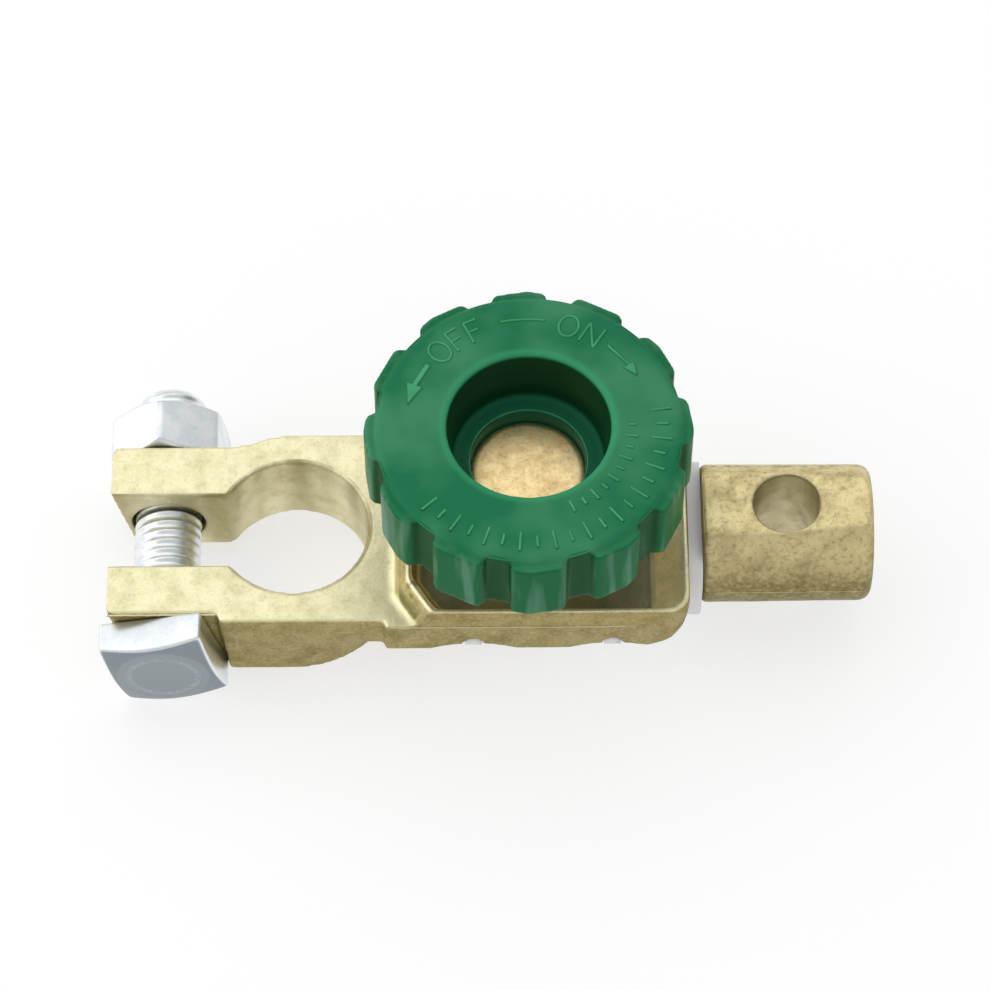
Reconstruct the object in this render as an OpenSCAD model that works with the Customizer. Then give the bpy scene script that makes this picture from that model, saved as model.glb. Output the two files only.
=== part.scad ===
// Battery disconnect switch: a split brass clamp for a battery post, cast in one piece with the housing
// of a screw-down contact, a cable post held in an insulator, and a moulded knob that lifts the contact.
// The origin is the clamp bore's axis at the clamp's flat top. +X runs towards the cable post, +Z is up.

/* [Post clamp] */
// Diameter of the bore that grips the battery post
post_d = 17.4; // [15:0.1:19.5]
// Depth of the collar and the ears
clamp_depth = 11.5; // [11.2:0.1:16]
// Wall of the collar round the bore
collar_wall = 3.9; // [3:0.1:6]
// Distance from the bore's axis to the tips of the ears
ear_reach = 21.5; // [20.8:0.1:26]
// Width of the slot between the ears
jaw_gap = 9.3; // [6:0.1:11]
// How far the slot lies in front of the bore's axis
slot_shift = 0.3; // [0:0.05:0.6]
// How far the outside of the front ear stands back from the collar's side
ear_inset = 1.1; // [0.5:0.1:2]
// How far the outside of the rear ear stands back from the collar's side
rear_inset = 1.45; // [0.5:0.05:2]
// How far the tips of the ears lean in from top to bottom
ear_lean = 2; // [0:0.1:2.6]
// How far the shoulder beside the bolt's head leans away from it, from top to bottom
shoulder_lean = 0.95; // [0:0.05:1.2]
// Radius of the upright corners at the tips of the ears
ear_corner_r = 0.9; // [0.4:0.1:2]
// Radius where the slot's walls turn into the bore
slot_lead_r = 1.8; // [0.8:0.1:2.4]
// Length of the sweep from the rear ear's outside to the collar's side
ear_sweep = 7.2; // [3:0.1:7.3]

/* [Clamp bolt] */
// Thread diameter of the bolt
bolt_d = 8; // [6:0.1:8]
// Distance from the bore's axis to the bolt's axis
bolt_offset = 15.1; // [14.4:0.1:15.7]
// Depth of the bolt's axis below the clamp's top
bolt_drop = 6.7; // [6:0.1:6.9]
// Play of the bolt in the ears' holes, on the radius
hole_play = 0.3; // [0.1:0.05:0.35]
// Width across the flats of the square head
head_af = 12.2; // [11:0.1:13]
// Thickness of the square head
head_h = 4.6; // [3.6:0.1:6]
// Turn of the square head about the bolt's axis
head_turn = 13; // [0:1:20]
// Width across the flats of the nut
nut_af = 13; // [11:0.1:13]
// Thickness of the nut
nut_h = 6.5; // [4:0.1:8]
// Turn of the nut about the bolt's axis
nut_turn = 8; // [0:1:60]
// Length of thread that stands out beyond the nut
bolt_tip = 3.6; // [2:0.1:8]

/* [Switch housing] */
// Distance from the post bore's axis to the knob's axis
post_to_knob = 27.3; // [27:0.1:36]
// Distance from the knob's axis to the housing's end at the clamp
housing_in = 16.7; // [15.8:0.1:17]
// Distance from the knob's axis to the housing's end at the cable post
housing_out = 18.5; // [17:0.1:26]
// Width of the housing
housing_w = 27.1; // [26:0.1:34]
// Thickness of the web and the housing's skirt below the clamp's top
block_h = 5.3; // [4.6:0.1:6.4]
// Height of the tray's rim above the clamp's top
rim_h = 3.5; // [2.5:0.1:5]
// Height of the tray's floor above the clamp's top
floor_h = 1; // [0.4:0.1:1.6]
// Thickness of the plate under the tray's floor
plate_t = 2.2; // [1.6:0.1:2.8]
// Width of the tray's rim
rim_w = 0.5; // [0.3:0.1:1]
// Length of the ramp inside the tray at the cable end
ramp_l = 3.7; // [1:0.1:4]
// Distance from the knob's axis to the tray's rim at the clamp
tray_in = 14; // [13:0.1:14.8]
// Slope of the tray's outside at the clamp, measured along the floor
tray_slope = 1.6; // [0.5:0.1:1.8]
// Radius of the housing's lower edge at the cable end
end_r = 7.2; // [3:0.1:7.5]
// Radius of the housing's upright corners at the cable end
corner_r = 2.4; // [1:0.1:3.4]
// Depth of the two shallow arches under each side of the skirt
arch_h = 1.1; // [0.5:0.1:1.5]
// Distance from the knob's axis to the insulator's lugs at the clamp
lug_in = 6.4; // [5:0.1:8]
// Distance from the knob's axis to the insulator's lugs at the cable post
lug_out = 9.7; // [8:0.1:11]

/* [Insulator] */
// Wall of the insulator
insul_t = 1.2; // [0.8:0.1:1.3]
// Thickness of the insulator's end flange between the housing and the cable post
end_flange_t = 1.6; // [1.2:0.1:3]
// Half width of the end flange
end_flange_y = 8.4; // [7.8:0.1:9.5]
// Height of the end flange's top above the clamp's top
end_flange_top = 2.2; // [1:0.1:3.2]
// Width of the insulator's snap lugs
lug_w = 2; // [1.5:0.1:3]

/* [Terminal] */
// How far the tongue's sides lie inside the rim of the contact flange
tongue_inset = 0.2; // [0:0.1:0.4]
// Thickness of the tongue
tongue_t = 4.5; // [3:0.1:6]
// Width of the neck between the tongue and the cable post
neck_w = 12.4; // [9:0.1:12.8]
// Radius of the boss round the tapped hole
boss_r = 7; // [6.4:0.1:8]
// Diameter of the cable post at its shoulder
cable_post_d = 16.1; // [15.5:0.1:18]
// Diameter of the cable post at its end
cable_tip_d = 15.9; // [15.2:0.1:16.1]
// Length of the cable post
cable_post_l = 19.8; // [16:0.1:30]
// Depth of the cable post's axis below the clamp's top
cable_axis_drop = 2.2; // [0.8:0.1:3]
// Height of the flat above the cable post's axis at the cross hole
flat_h = 7; // [6.3:0.1:7.3]
// Slope of the flat towards the shoulder
flat_slope = 1.8; // [0:0.1:2]
// Radius of the cable post's end edge
tip_r = 1.4; // [0.5:0.1:2.5]
// Diameter of the cross hole
cross_d = 7.6; // [5:0.1:9]
// Distance from the shoulder to the cross hole's axis
cross_x = 9.75; // [7:0.05:12]

/* [Contact stud] */
// Diameter of the stud's shank
stud_d = 10; // [8:0.1:10.4]
// Diameter of the contact flange on the tray's floor
flange_d = 20; // [17:0.1:21]
// Thickness of the contact flange
flange_t = 3; // [2:0.1:5]
// Diameter of the hub between the flange and the knob
hub_d = 16; // [14.4:0.1:19]
// Height of the knob's underside above the tray's floor
knob_lift = 10.8; // [8:0.1:14]
// Diameter of the head that shows in the knob's well
stud_head_d = 13; // [11:0.1:13.6]
// How far the head lies below the well's floor
head_sink = 1; // [0.3:0.1:1.8]

/* [Knob] */
// Diameter of the knob over its lobes
knob_d = 37.2; // [35:0.1:44]
// Height of the knob
knob_h = 10.25; // [9:0.05:14]
// Number of lobes
lobe_count = 12; // [8:1:14]
// Height of the lobes above the valleys
lobe_h = 1.4; // [0.8:0.1:2]
// Width of a lobe at its root
lobe_w = 6.4; // [4:0.1:6.6]
// Turn of the first lobe
lobe_turn = 3; // [0:1:29]
// How far the lobes end below the knob's top
lobe_step = 0.5; // [0.3:0.05:1.2]
// Diameter of the well at its mouth
well_d = 18.5; // [17.6:0.1:21]
// Depth of the well
well_h = 6.5; // [4:0.1:6.8]
// Draft of the well's wall from mouth to floor, on the radius
well_draft = 0.65; // [0:0.05:0.9]
// Wall of the knob outside the pockets in its underside
knob_wall = 2.4; // [1.8:0.1:3]
// Depth of the pockets in the knob's underside
pocket_h = 6; // [3:0.1:7]
// Thickness of the ribs between the pockets
rib_t = 1.5; // [1:0.1:2.5]

/* [Fits] */
// Gap between pieces that are seated on each other
seat_gap = 0.05; // [0.02:0.01:0.1]
// Clearance of turning and sliding fits, on the radius
run_play = 0.05; // [0.02:0.01:0.1]

/* [Hidden] */
$fn = 96;

// Thin slab that a loft starts or ends with
slab = 0.02;
// Overshoot of cuts past the faces that they open
cut = 1;

post_r = post_d / 2;
collar_r = post_r + collar_wall;
ear_y = collar_r - ear_inset;
rear_y = collar_r - rear_inset;
slot_front = -slot_shift - jaw_gap / 2;
slot_back = -slot_shift + jaw_gap / 2;
// How far the slot's rounded corners reach into the bore, so that the two cross cleanly
lead_sink = 0.03;

bolt_r = bolt_d / 2;
ear_hole_r = bolt_r + hole_play;
nut_corner_r = nut_af / 2 / cos(30);
bolt_end_y = rear_y + seat_gap + nut_h + bolt_tip;
// Reach of the turned square head along X, and its clearance to the shoulder at its lower corner
head_reach = head_af / 2 * (cos(head_turn) + sin(head_turn));
head_play = 0.13;
shoulder_x = -bolt_offset + head_reach + head_play;
shoulder_slope = min(shoulder_lean / clamp_depth, tan(head_turn));
sweep_x = -bolt_offset + nut_corner_r + 0.1;

housing_x0 = post_to_knob - housing_in;
housing_x1 = post_to_knob + housing_out;
housing_y = housing_w / 2;
tray_x0 = post_to_knob - tray_in;
// Corner cut of the tray's rim at the clamp, along X and along Y
tray_cut = [2.8, 4.3];
// Inward slope of the tray's inside walls
tray_inner_slope = 0.6;
side_draft = 0.08;
plate_z = floor_h - plate_t;

// The insulator lies against the plate, the tongue lies in it, and the cover closes it from below
tongue_r = flange_d / 2 - tongue_inset;
insul_top = plate_z - seat_gap;
tongue_top = insul_top - insul_t - seat_gap;
tongue_bottom = tongue_top - tongue_t;
cover_top = tongue_bottom - seat_gap;
cover_bottom = cover_top - insul_t;
insul_in_r = tongue_r + seat_gap;
insul_out_r = insul_in_r + insul_t;
cavity_r = insul_out_r + seat_gap;
neck_y = neck_w / 2;
neck_insul_y = neck_y + seat_gap + insul_t;
end_wall = 2;
cavity_x1 = housing_x1 - end_wall;
tongue_x1 = cavity_x1 - insul_t - 2 * seat_gap;

stud_r = stud_d / 2 - run_play;
sleeve_in_r = stud_d / 2 + 0.4;
sleeve_out_r = sleeve_in_r + insul_t;
shank_end = cover_bottom + 0.4;

shoulder_face = housing_x1 + end_flange_t + 2 * seat_gap;
cable_r = cable_post_d / 2;
cable_tip_r = cable_tip_d / 2;
end_flange_bottom = cover_bottom;
end_flange_r = 3;
notch_w = lug_w + 0.2;
lug_top = -block_h + 2.2;
arch_half = 5;
arch_r = (arch_half * arch_half + arch_h * arch_h) / (2 * arch_h);

knob_z = floor_h + knob_lift;
knob_top = knob_z + knob_h;
well_floor = knob_top - well_h;
lobe_top = knob_top - lobe_step;
valley_r = knob_d / 2 - lobe_h;
head_r = stud_head_d / 2;
head_top = well_floor - head_sink;
knob_bore_r = head_r + run_play;
well_floor_r = well_d / 2 - well_draft;
pocket_in_r = well_d / 2 + 1.9;
pocket_out_r = valley_r - knob_wall;
rib_count = lobe_count / 2;

// Points of an arc from angle a0 to a1
function arc(c, r, a0, a1, n) = [for (i = [0:n]) let (a = a0 + (a1 - a0) * i / n)
    [c[0] + r * cos(a), c[1] + r * sin(a)]];

// Points of a smooth sweep between two heights
function sweep(x0, y0, x1, y1, n) = [for (i = [0:n]) let (t = i / n)
    [x0 + (x1 - x0) * t, y0 + (y1 - y0) * (1 - cos(180 * t)) / 2]];

// A turned form about the knob's axis, from its half section
module turned() translate([post_to_knob, 0, 0]) rotate_extrude() children();

// A prism that runs through the part along Y, from an outline in X and Z
module along_y(width) rotate([90, 0, 0]) linear_extrude(width, center = true) children();

// Places its children on the bolt's axis, with their +Z towards the nut
module on_bolt() translate([-bolt_offset, 0, -bolt_drop]) rotate([-90, 0, 0]) children();

// Outline of the collar and both ears from above, without bore and slot
module jaws_plan() {
    c = ear_corner_r;
    polygon(concat(
        arc([-ear_reach + c, rear_y - c], c, 180, 90, 4),
        sweep(sweep_x, rear_y, sweep_x + ear_sweep, collar_r, 10),
        [[0, collar_r], [0, -collar_r], [-ear_reach, -collar_r]]));
    circle(collar_r);
}

// Room for the bolt's head in front of the front ear, up to the shoulder that keeps the head from turning
module head_recess() intersection() {
    c = ear_corner_r;
    far = -ear_reach - 2 * cut;
    translate([0, 0, -clamp_depth - cut]) linear_extrude(clamp_depth + 2 * cut) polygon(concat(
        arc([-ear_reach + c, -ear_y + c], c, 180, 270, 4),
        [[0, -ear_y], [0, -collar_r - cut], [far, -collar_r - cut], [far, c - ear_y]]));
    along_y(2 * collar_r + 4 * cut) polygon([
        [far - cut, cut], [shoulder_x - shoulder_slope * (clamp_depth + cut), cut],
        [shoulder_x + shoulder_slope * cut, -clamp_depth - cut], [far - cut, -clamp_depth - cut]]);
}

// Outline of the ears from the side, with tips that lean in
module jaws_side() {
    tip_r = 1.6;
    bottom_x = -ear_reach + ear_lean;
    polygon(concat(
        [[collar_r + cut, 0], [-ear_reach, 0]],
        arc([bottom_x + tip_r, -clamp_depth + tip_r], tip_r, 180, 270, 5),
        [[collar_r + cut, -clamp_depth]]));
}

// One wall of the slot, from the ear's tip to where it turns into the bore
function slot_wall(y) = let (
        s = sign(y),
        cy = y + s * slot_lead_r,
        cx = -sqrt(pow(post_r + slot_lead_r - lead_sink, 2) - cy * cy),
        turn = atan2(abs(cy), -cx))
    concat([[-ear_reach - cut, y], [cx, y]], arc([cx, cy], slot_lead_r, -s * 90, -s * turn, 5));

module slot_plan() {
    front = slot_wall(slot_front);
    back = slot_wall(slot_back);
    polygon(concat(front, [[0, 0]], [for (i = [len(back) - 1:-1:0]) back[i]]));
}

module jaws() difference() {
    intersection() {
        translate([0, 0, -clamp_depth]) linear_extrude(clamp_depth) jaws_plan();
        along_y(2 * collar_r + cut) jaws_side();
    }
    head_recess();
}

// Points round the two corners at the housing's cable end
function end_corners(x1, y, r) = concat(arc([x1 - r, r - y], r, 270, 360, 6), arc([x1 - r, y - r], r, 0, 90, 6));

// Outline of the tray's rim, or of its foot or floor, set in by the given amounts
module tray_plan(x0, x1, y, r) polygon(concat(
    [[x0 + tray_cut[0], y], [x0, y - tray_cut[1]], [x0, tray_cut[1] - y], [x0 + tray_cut[0], -y]],
    end_corners(x1, y, r)));

// Outline of the housing from the side, round at the lower edge of the cable end
module housing_side() polygon(concat(
    [[housing_x0, rim_h], [housing_x0, -block_h]],
    arc([housing_x1 - end_r, -block_h + end_r], end_r, 270, 360, 12),
    [[housing_x1, rim_h]]));

module housing() intersection() {
    union() {
        translate([0, 0, -block_h]) linear_extrude(block_h) polygon(concat(
            [[housing_x0, housing_y], [housing_x0, -housing_y]], end_corners(housing_x1, housing_y, corner_r)));
        hull() {
            linear_extrude(slab) tray_plan(tray_x0 - tray_slope, housing_x1, housing_y, corner_r);
            translate([0, 0, rim_h - slab])
                linear_extrude(slab) tray_plan(tray_x0, housing_x1, housing_y - side_draft, corner_r);
        }
    }
    along_y(housing_w + cut) housing_side();
}

// The sunk tray, with a long ramp at the cable end
module tray_hollow() hull() {
    inner = rim_w + tray_inner_slope;
    least_r = 0.3;
    translate([0, 0, floor_h]) linear_extrude(slab) tray_plan(
        tray_x0 + inner, housing_x1 - ramp_l - rim_w, housing_y - inner, max(corner_r - inner, least_r));
    translate([0, 0, rim_h]) linear_extrude(slab) tray_plan(
        tray_x0 + rim_w, housing_x1 - rim_w, housing_y - side_draft - rim_w, max(corner_r - rim_w, least_r));
}

// Outline of the insulator's bed in the housing: round about the stud, straight towards the cable post
module bed_plan(r, x1) {
    translate([post_to_knob, 0]) circle(r);
    translate([post_to_knob, -r]) square([x1 - post_to_knob, 2 * r]);
}

module neck_plan(y, x1) translate([post_to_knob, -y]) square([x1 - post_to_knob, 2 * y]);

module clamp_casting() color("khaki") difference() {
    union() {
        jaws();
        translate([0, -collar_r, -block_h]) cube([housing_x0 + cut, 2 * collar_r, block_h]);
        housing();
    }
    // Post bore and slot
    translate([0, 0, -clamp_depth - cut]) cylinder(r = post_r, h = clamp_depth + 2 * cut);
    translate([0, 0, -clamp_depth - cut]) linear_extrude(clamp_depth + 2 * cut) slot_plan();
    // Holes of the clamp bolt
    on_bolt() cylinder(r = ear_hole_r, h = 2 * collar_r + 2 * cut, center = true);
    // Tray, stud hole and the insulator's bed
    tray_hollow();
    translate([post_to_knob, 0, plate_z - cut])
        cylinder(r = sleeve_out_r + seat_gap, h = plate_t + 2 * cut);
    translate([0, 0, -block_h - cut]) linear_extrude(plate_z + block_h + cut) {
        bed_plan(cavity_r, cavity_x1);
        neck_plan(neck_insul_y + seat_gap, housing_x1 + cut);
    }
    // Arches and lug notches in the skirt
    for (x = [-lug_in, lug_out]) translate([post_to_knob + x, 0, 0]) {
        translate([0, 0, -block_h + arch_h - arch_r])
            rotate([90, 0, 0]) cylinder(r = arch_r, h = housing_w + 2 * cut, center = true);
        along_y(housing_w + 2 * cut) lug_outline(notch_w, lug_top + seat_gap);
    }
}

// Arch-shaped outline of a lug or its notch
module lug_outline(w, top) polygon(concat(
    [[w / 2, -block_h - cut]], arc([0, top - w / 2], w / 2, 0, 180, 8), [[-w / 2, -block_h - cut]]));

// The insulator's inverted tray, with a sleeve round the stud and a flange behind the cable post
module insulator_tray() color("white") {
    wall_h = insul_top - tongue_bottom;
    difference() {
        union() {
            translate([0, 0, tongue_bottom]) linear_extrude(wall_h) {
                bed_plan(insul_out_r, cavity_x1 - seat_gap);
                neck_plan(neck_insul_y, housing_x1 + 2 * seat_gap);
            }
            translate([post_to_knob, 0, tongue_top])
                cylinder(r = sleeve_out_r, h = floor_h - 0.15 - tongue_top);
            translate([housing_x1 + seat_gap, 0, 0]) end_flange();
            snap_lugs();
        }
        translate([0, 0, tongue_bottom - cut]) linear_extrude(tongue_t + seat_gap + cut) {
            bed_plan(insul_in_r, tongue_x1 + seat_gap);
            neck_plan(neck_y + seat_gap, shoulder_face + cut);
        }
        translate([housing_x1, -end_flange_y, end_flange_bottom - cut])
            cube([end_flange_t + cut, 2 * end_flange_y, cut + tongue_bottom - end_flange_bottom]);
        translate([post_to_knob, 0, tongue_top - cut])
            cylinder(r = sleeve_in_r, h = floor_h - tongue_top + 2 * cut);
    }
}

// Upright flange with round corners, from the outline's low to its high end
module end_flange() rotate([90, 0, 90]) linear_extrude(end_flange_t) hull()
    for (y = [-1, 1], z = [end_flange_bottom + end_flange_r, end_flange_top - end_flange_r])
        translate([y * (end_flange_y - end_flange_r), z]) circle(end_flange_r, $fn = 32);

// Lugs that snap into the notches of the housing's skirt
module snap_lugs() difference() {
    for (x = [-lug_in, lug_out]) translate([post_to_knob + x, 0, 0])
        along_y(housing_w - 2 * seat_gap) intersection() {
            lug_outline(lug_w, lug_top);
            translate([-lug_w, -block_h + arch_h]) square([2 * lug_w, block_h]);
        }
    translate([0, 0, -2 * block_h])
        linear_extrude(3 * block_h) bed_plan(insul_in_r + insul_t / 2, cavity_x1);
}

// The insulator's cover, held on the terminal's boss, with the lower bar of the end flange
module insulator_cover() color("whitesmoke") difference() {
    union() {
        translate([0, 0, cover_bottom]) linear_extrude(insul_t) {
            bed_plan(insul_out_r - 0.3, cavity_x1 - seat_gap - 0.3);
            neck_plan(neck_insul_y, shoulder_face - seat_gap);
        }
        translate([housing_x1 + seat_gap, 0, 0]) intersection() {
            end_flange();
            translate([-cut, -end_flange_y, end_flange_bottom])
                cube([end_flange_t + 2 * cut, 2 * end_flange_y, insul_t]);
        }
    }
    translate([post_to_knob, 0, cover_bottom - cut]) cylinder(r = boss_r + seat_gap, h = insul_t + 2 * cut);
}

// Half section of the cable post, with its axis along the section's Y
module cable_post_section() {
    edge = 0.4;
    polygon(concat(
        [[0, 0], [cable_r - edge, 0], [cable_r, edge]],
        arc([cable_tip_r - tip_r, cable_post_l - tip_r], tip_r, 2, 90, 6),
        [[0, cable_post_l]]));
}

module terminal_casting() color("darkkhaki") difference() {
    union() {
        translate([0, 0, tongue_bottom]) linear_extrude(tongue_t) {
            bed_plan(tongue_r, tongue_x1);
            neck_plan(neck_y, shoulder_face + cut);
        }
        translate([post_to_knob, 0, cover_bottom]) cylinder(r = boss_r, h = insul_t + tongue_t / 2);
        translate([shoulder_face, 0, -cable_axis_drop])
            rotate([0, 90, 0]) rotate_extrude() cable_post_section();
    }
    // Tapped hole for the stud
    translate([post_to_knob, 0, cover_bottom - cut])
        cylinder(r = stud_d / 2, h = tongue_top - cover_bottom + 2 * cut);
    // Flat and cross hole of the cable post
    translate([shoulder_face + cross_x, 0, -cable_axis_drop + flat_h]) {
        rotate([0, -flat_slope, 0])
            translate([-cable_post_l, -cable_r, 0]) cube([2 * cable_post_l, 2 * cable_r, cable_r]);
        cylinder(r = cross_d / 2, h = 4 * cable_r, center = true);
    }
}

module contact_stud() color("goldenrod") turned() {
    base = floor_h + seat_gap;
    hub_top = knob_z - seat_gap;
    edge = 0.4;
    polygon([
        [0, shank_end], [stud_r - 2 * edge, shank_end], [stud_r, shank_end + 2 * edge], [stud_r, base],
        [flange_d / 2 - edge, base], [flange_d / 2, base + edge],
        [flange_d / 2, base + flange_t - edge], [flange_d / 2 - edge, base + flange_t],
        [hub_d / 2, base + flange_t], [hub_d / 2, hub_top], [head_r, hub_top],
        [head_r, head_top - edge / 2], [head_r - edge / 2, head_top], [0, head_top]]);
}

// Outline of the lobes: broad tips with round shoulders that run into the valleys
module lobes_plan() {
    shoulder_r = 1;
    root_r = 0.8;
    offset(r = -root_r, $fn = 20) offset(delta = root_r)
        offset(r = shoulder_r, $fn = 20) offset(delta = -shoulder_r) intersection() {
            circle(knob_d / 2);
            union() {
                circle(valley_r);
                for (i = [0:lobe_count - 1]) rotate(lobe_turn + i * 360 / lobe_count)
                    polygon([[0, -lobe_w / 2], [valley_r, -lobe_w / 2], [knob_d, 0],
                        [valley_r, lobe_w / 2], [0, lobe_w / 2]]);
            }
        }
}

// Half section that rounds the lobes' upper and lower edges
module lobe_section() {
    r = 0.35;
    tip = knob_d / 2;
    polygon(concat(
        [[valley_r - 2, knob_z], [tip - r / 2, knob_z], [tip, knob_z + r / 2]],
        arc([tip - r, lobe_top - r], r, 0, 90, 5),
        [[valley_r - 2, lobe_top]]));
}

// Half section of the knob's round body inside the lobes
module knob_section() {
    r = 0.5;
    mouth = 0.8;
    polygon(concat(
        [[knob_bore_r, knob_z], [valley_r, knob_z]],
        arc([valley_r - r, knob_top - r], r, 0, 90, 5),
        arc([well_d / 2 + mouth, knob_top - mouth], mouth, 90, 180, 5),
        [[well_floor_r, well_floor], [knob_bore_r, well_floor]]));
}

// Pockets between the knob's wall, its hub and its ribs
module knob_pockets() difference() {
    turned() translate([pocket_in_r, knob_z - cut]) square([pocket_out_r - pocket_in_r, pocket_h + cut]);
    translate([post_to_knob, 0, knob_z]) for (i = [0:rib_count - 1])
        rotate(lobe_turn + (i + 0.5) * 360 / rib_count)
            translate([0, -rib_t / 2, -2 * cut]) cube([knob_d, rib_t, pocket_h + 3 * cut]);
}

module knob() color("seagreen") difference() {
    union() {
        turned() knob_section();
        intersection() {
            translate([post_to_knob, 0, knob_z]) linear_extrude(knob_h) difference() {
                lobes_plan();
                circle(valley_r - 1);
            }
            turned() lobe_section();
        }
    }
    knob_pockets();
}

// Half section that bevels the corners of a head or a nut from a flat face of radius r at z0, and at z1
// too where asked
module bevel_section(r, reach, z0, z1, slope, both) {
    drop = (reach - r) * tan(slope);
    polygon(concat([[0, z0], [r, z0], [reach, z0 + drop]],
        both ? [[reach, z1 - drop], [r, z1]] : [[reach, z1]], [[0, z1]]));
}

module clamp_bolt() color("lightsteelblue") on_bolt() {
    face = -ear_y - seat_gap;
    thread_r = bolt_r - run_play;
    lead = 0.8;
    intersection() {
        rotate(-head_turn) translate([-head_af / 2, -head_af / 2, face - head_h])
            cube([head_af, head_af, head_h]);
        rotate_extrude() bevel_section(head_af / 2 - 0.9, head_af, face - head_h, face, 18, false);
    }
    rotate_extrude() polygon([
        [0, face - head_h / 2], [thread_r, face - head_h / 2], [thread_r, bolt_end_y - lead],
        [thread_r - lead, bolt_end_y], [0, bolt_end_y]]);
}

module clamp_nut() color("lightsteelblue") on_bolt() {
    face = rear_y + seat_gap;
    difference() {
        intersection() {
            rotate(90 - nut_turn) translate([0, 0, face]) cylinder(r = nut_corner_r, h = nut_h, $fn = 6);
            rotate_extrude() bevel_section(nut_af / 2 - 0.1, nut_af / 2 + 2, face, face + nut_h, 30, true);
        }
        translate([0, 0, face - cut]) cylinder(r = bolt_r, h = nut_h + 2 * cut);
    }
}

clamp_casting();
insulator_tray();
insulator_cover();
terminal_casting();
contact_stud();
knob();
clamp_bolt();
clamp_nut();
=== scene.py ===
"""Battery disconnect switch, dressed for the camera.

A split brass post clamp cast in one piece with its switch housing, a zinc-plated clamp bolt and nut, a
moulded green knob on a brass contact stud, and a cast cable post held in a white insulator. Sizes are in
millimetres in the classes and become metres in the meshes.
"""
import logging
import math
from dataclasses import dataclass, field
from enum import Enum
from typing import Any, Callable, Sequence

import bmesh
import bpy
from mathutils import Matrix, Vector


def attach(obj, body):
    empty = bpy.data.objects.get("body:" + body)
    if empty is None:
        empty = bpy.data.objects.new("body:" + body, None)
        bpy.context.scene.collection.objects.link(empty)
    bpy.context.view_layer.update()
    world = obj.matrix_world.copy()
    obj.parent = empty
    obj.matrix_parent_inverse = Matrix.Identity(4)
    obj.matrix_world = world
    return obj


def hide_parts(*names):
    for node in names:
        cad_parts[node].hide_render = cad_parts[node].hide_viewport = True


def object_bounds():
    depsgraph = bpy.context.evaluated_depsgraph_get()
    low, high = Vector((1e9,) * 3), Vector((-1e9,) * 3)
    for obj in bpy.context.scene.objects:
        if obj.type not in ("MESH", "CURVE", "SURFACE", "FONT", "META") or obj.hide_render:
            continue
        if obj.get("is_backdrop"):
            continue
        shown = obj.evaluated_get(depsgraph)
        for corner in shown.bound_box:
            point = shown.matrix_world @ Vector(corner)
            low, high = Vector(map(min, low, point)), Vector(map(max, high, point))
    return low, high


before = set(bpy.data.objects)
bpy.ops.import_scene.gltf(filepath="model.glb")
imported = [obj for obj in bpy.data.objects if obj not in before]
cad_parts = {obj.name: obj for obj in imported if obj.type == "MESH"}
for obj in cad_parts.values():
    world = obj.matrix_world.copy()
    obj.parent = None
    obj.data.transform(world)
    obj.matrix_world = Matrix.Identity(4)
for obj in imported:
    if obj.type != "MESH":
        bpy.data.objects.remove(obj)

log = logging.getLogger("battery_switch")

MM = 0.001

# Steps of one turn of a knob's bead and of a faceted outline, and sides of a bead and of the thread
RING_STEPS = 180
OUTLINE_STEPS = 240
BEAD_SIDES = 10
THREAD_SIDES = 72
# Radius in millimetres that stands for a turned body's axis, and how sharp a worn polygon's corners stay
AXIS_R = 0.01
CORNER_KEEN = 46
# Where the thread's flank starts and ends, as shares of the pitch from the middle of its crest
THREAD_FLANK = (0.05, 0.38)
# Width in millimetres of the lumps along a mould seam, and length of every other graduation tick
RAG_MM = 0.9
SHORT_TICK = 0.6

Point = tuple[float, float, float]
Ring = list[Point]
Row = Callable[[float], tuple[float, float]]


class Body(Enum):
    """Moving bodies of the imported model."""

    CLAMP = "clamp"
    CONTACT = "contact"
    KNOB = "knob"
    BOLT = "bolt"
    NUT = "nut"


class Slot(Enum):
    """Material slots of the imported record."""

    CAST_BRASS = "cast_brass"
    CAST_BRONZE = "cast_bronze"
    TURNED_BRASS = "turned_brass"
    WHITE_NYLON = "white_nylon"
    GREEN_PLASTIC = "green_plastic"
    ZINC_PLATE = "zinc_plate"


def linear(colour: str) -> tuple[float, float, float, float]:
    """Turn an sRGB hex colour into linear red, green, blue and alpha.

    Args:
        colour: The colour as "#RRGGBB".

    Returns:
        The linear colour with an alpha of 1.
    """
    channels = [int(colour[i:i + 2], 16) / 255 for i in (1, 3, 5)]
    low = [c / 12.92 if c <= 0.04045 else ((c + 0.055) / 1.055) ** 2.4 for c in channels]
    return (low[0], low[1], low[2], 1.0)


def pattern_scale(feature_mm: float) -> float:
    """Give the texture scale at which one feature of a pattern is as wide as asked.

    Args:
        feature_mm: Width of one feature in millimetres.

    Returns:
        The scale on coordinates in metres.
    """
    return 1 / (feature_mm * MM)


def add_node(tree: bpy.types.NodeTree, kind: str, inputs: dict[str | int, Any] | None = None,
             **settings: Any) -> bpy.types.Node:
    """Add a node to a tree with its settings, values and links.

    Args:
        tree: The tree that gets the node.
        kind: The node's type.
        inputs: A value or another node's output for each input, by its name or place.
        settings: Attributes of the node.

    Returns:
        The new node.
    """
    node = tree.nodes.new(kind)
    for name, value in settings.items():
        setattr(node, name, value)
    for key, value in (inputs or {}).items():
        if isinstance(value, bpy.types.NodeSocket):
            tree.links.new(value, node.inputs[key])
        else:
            node.inputs[key].default_value = value
    return node


# Finishes. A Map Range node takes its level at input 0, from 1 to 2, and gives from 3 to 4.


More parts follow.
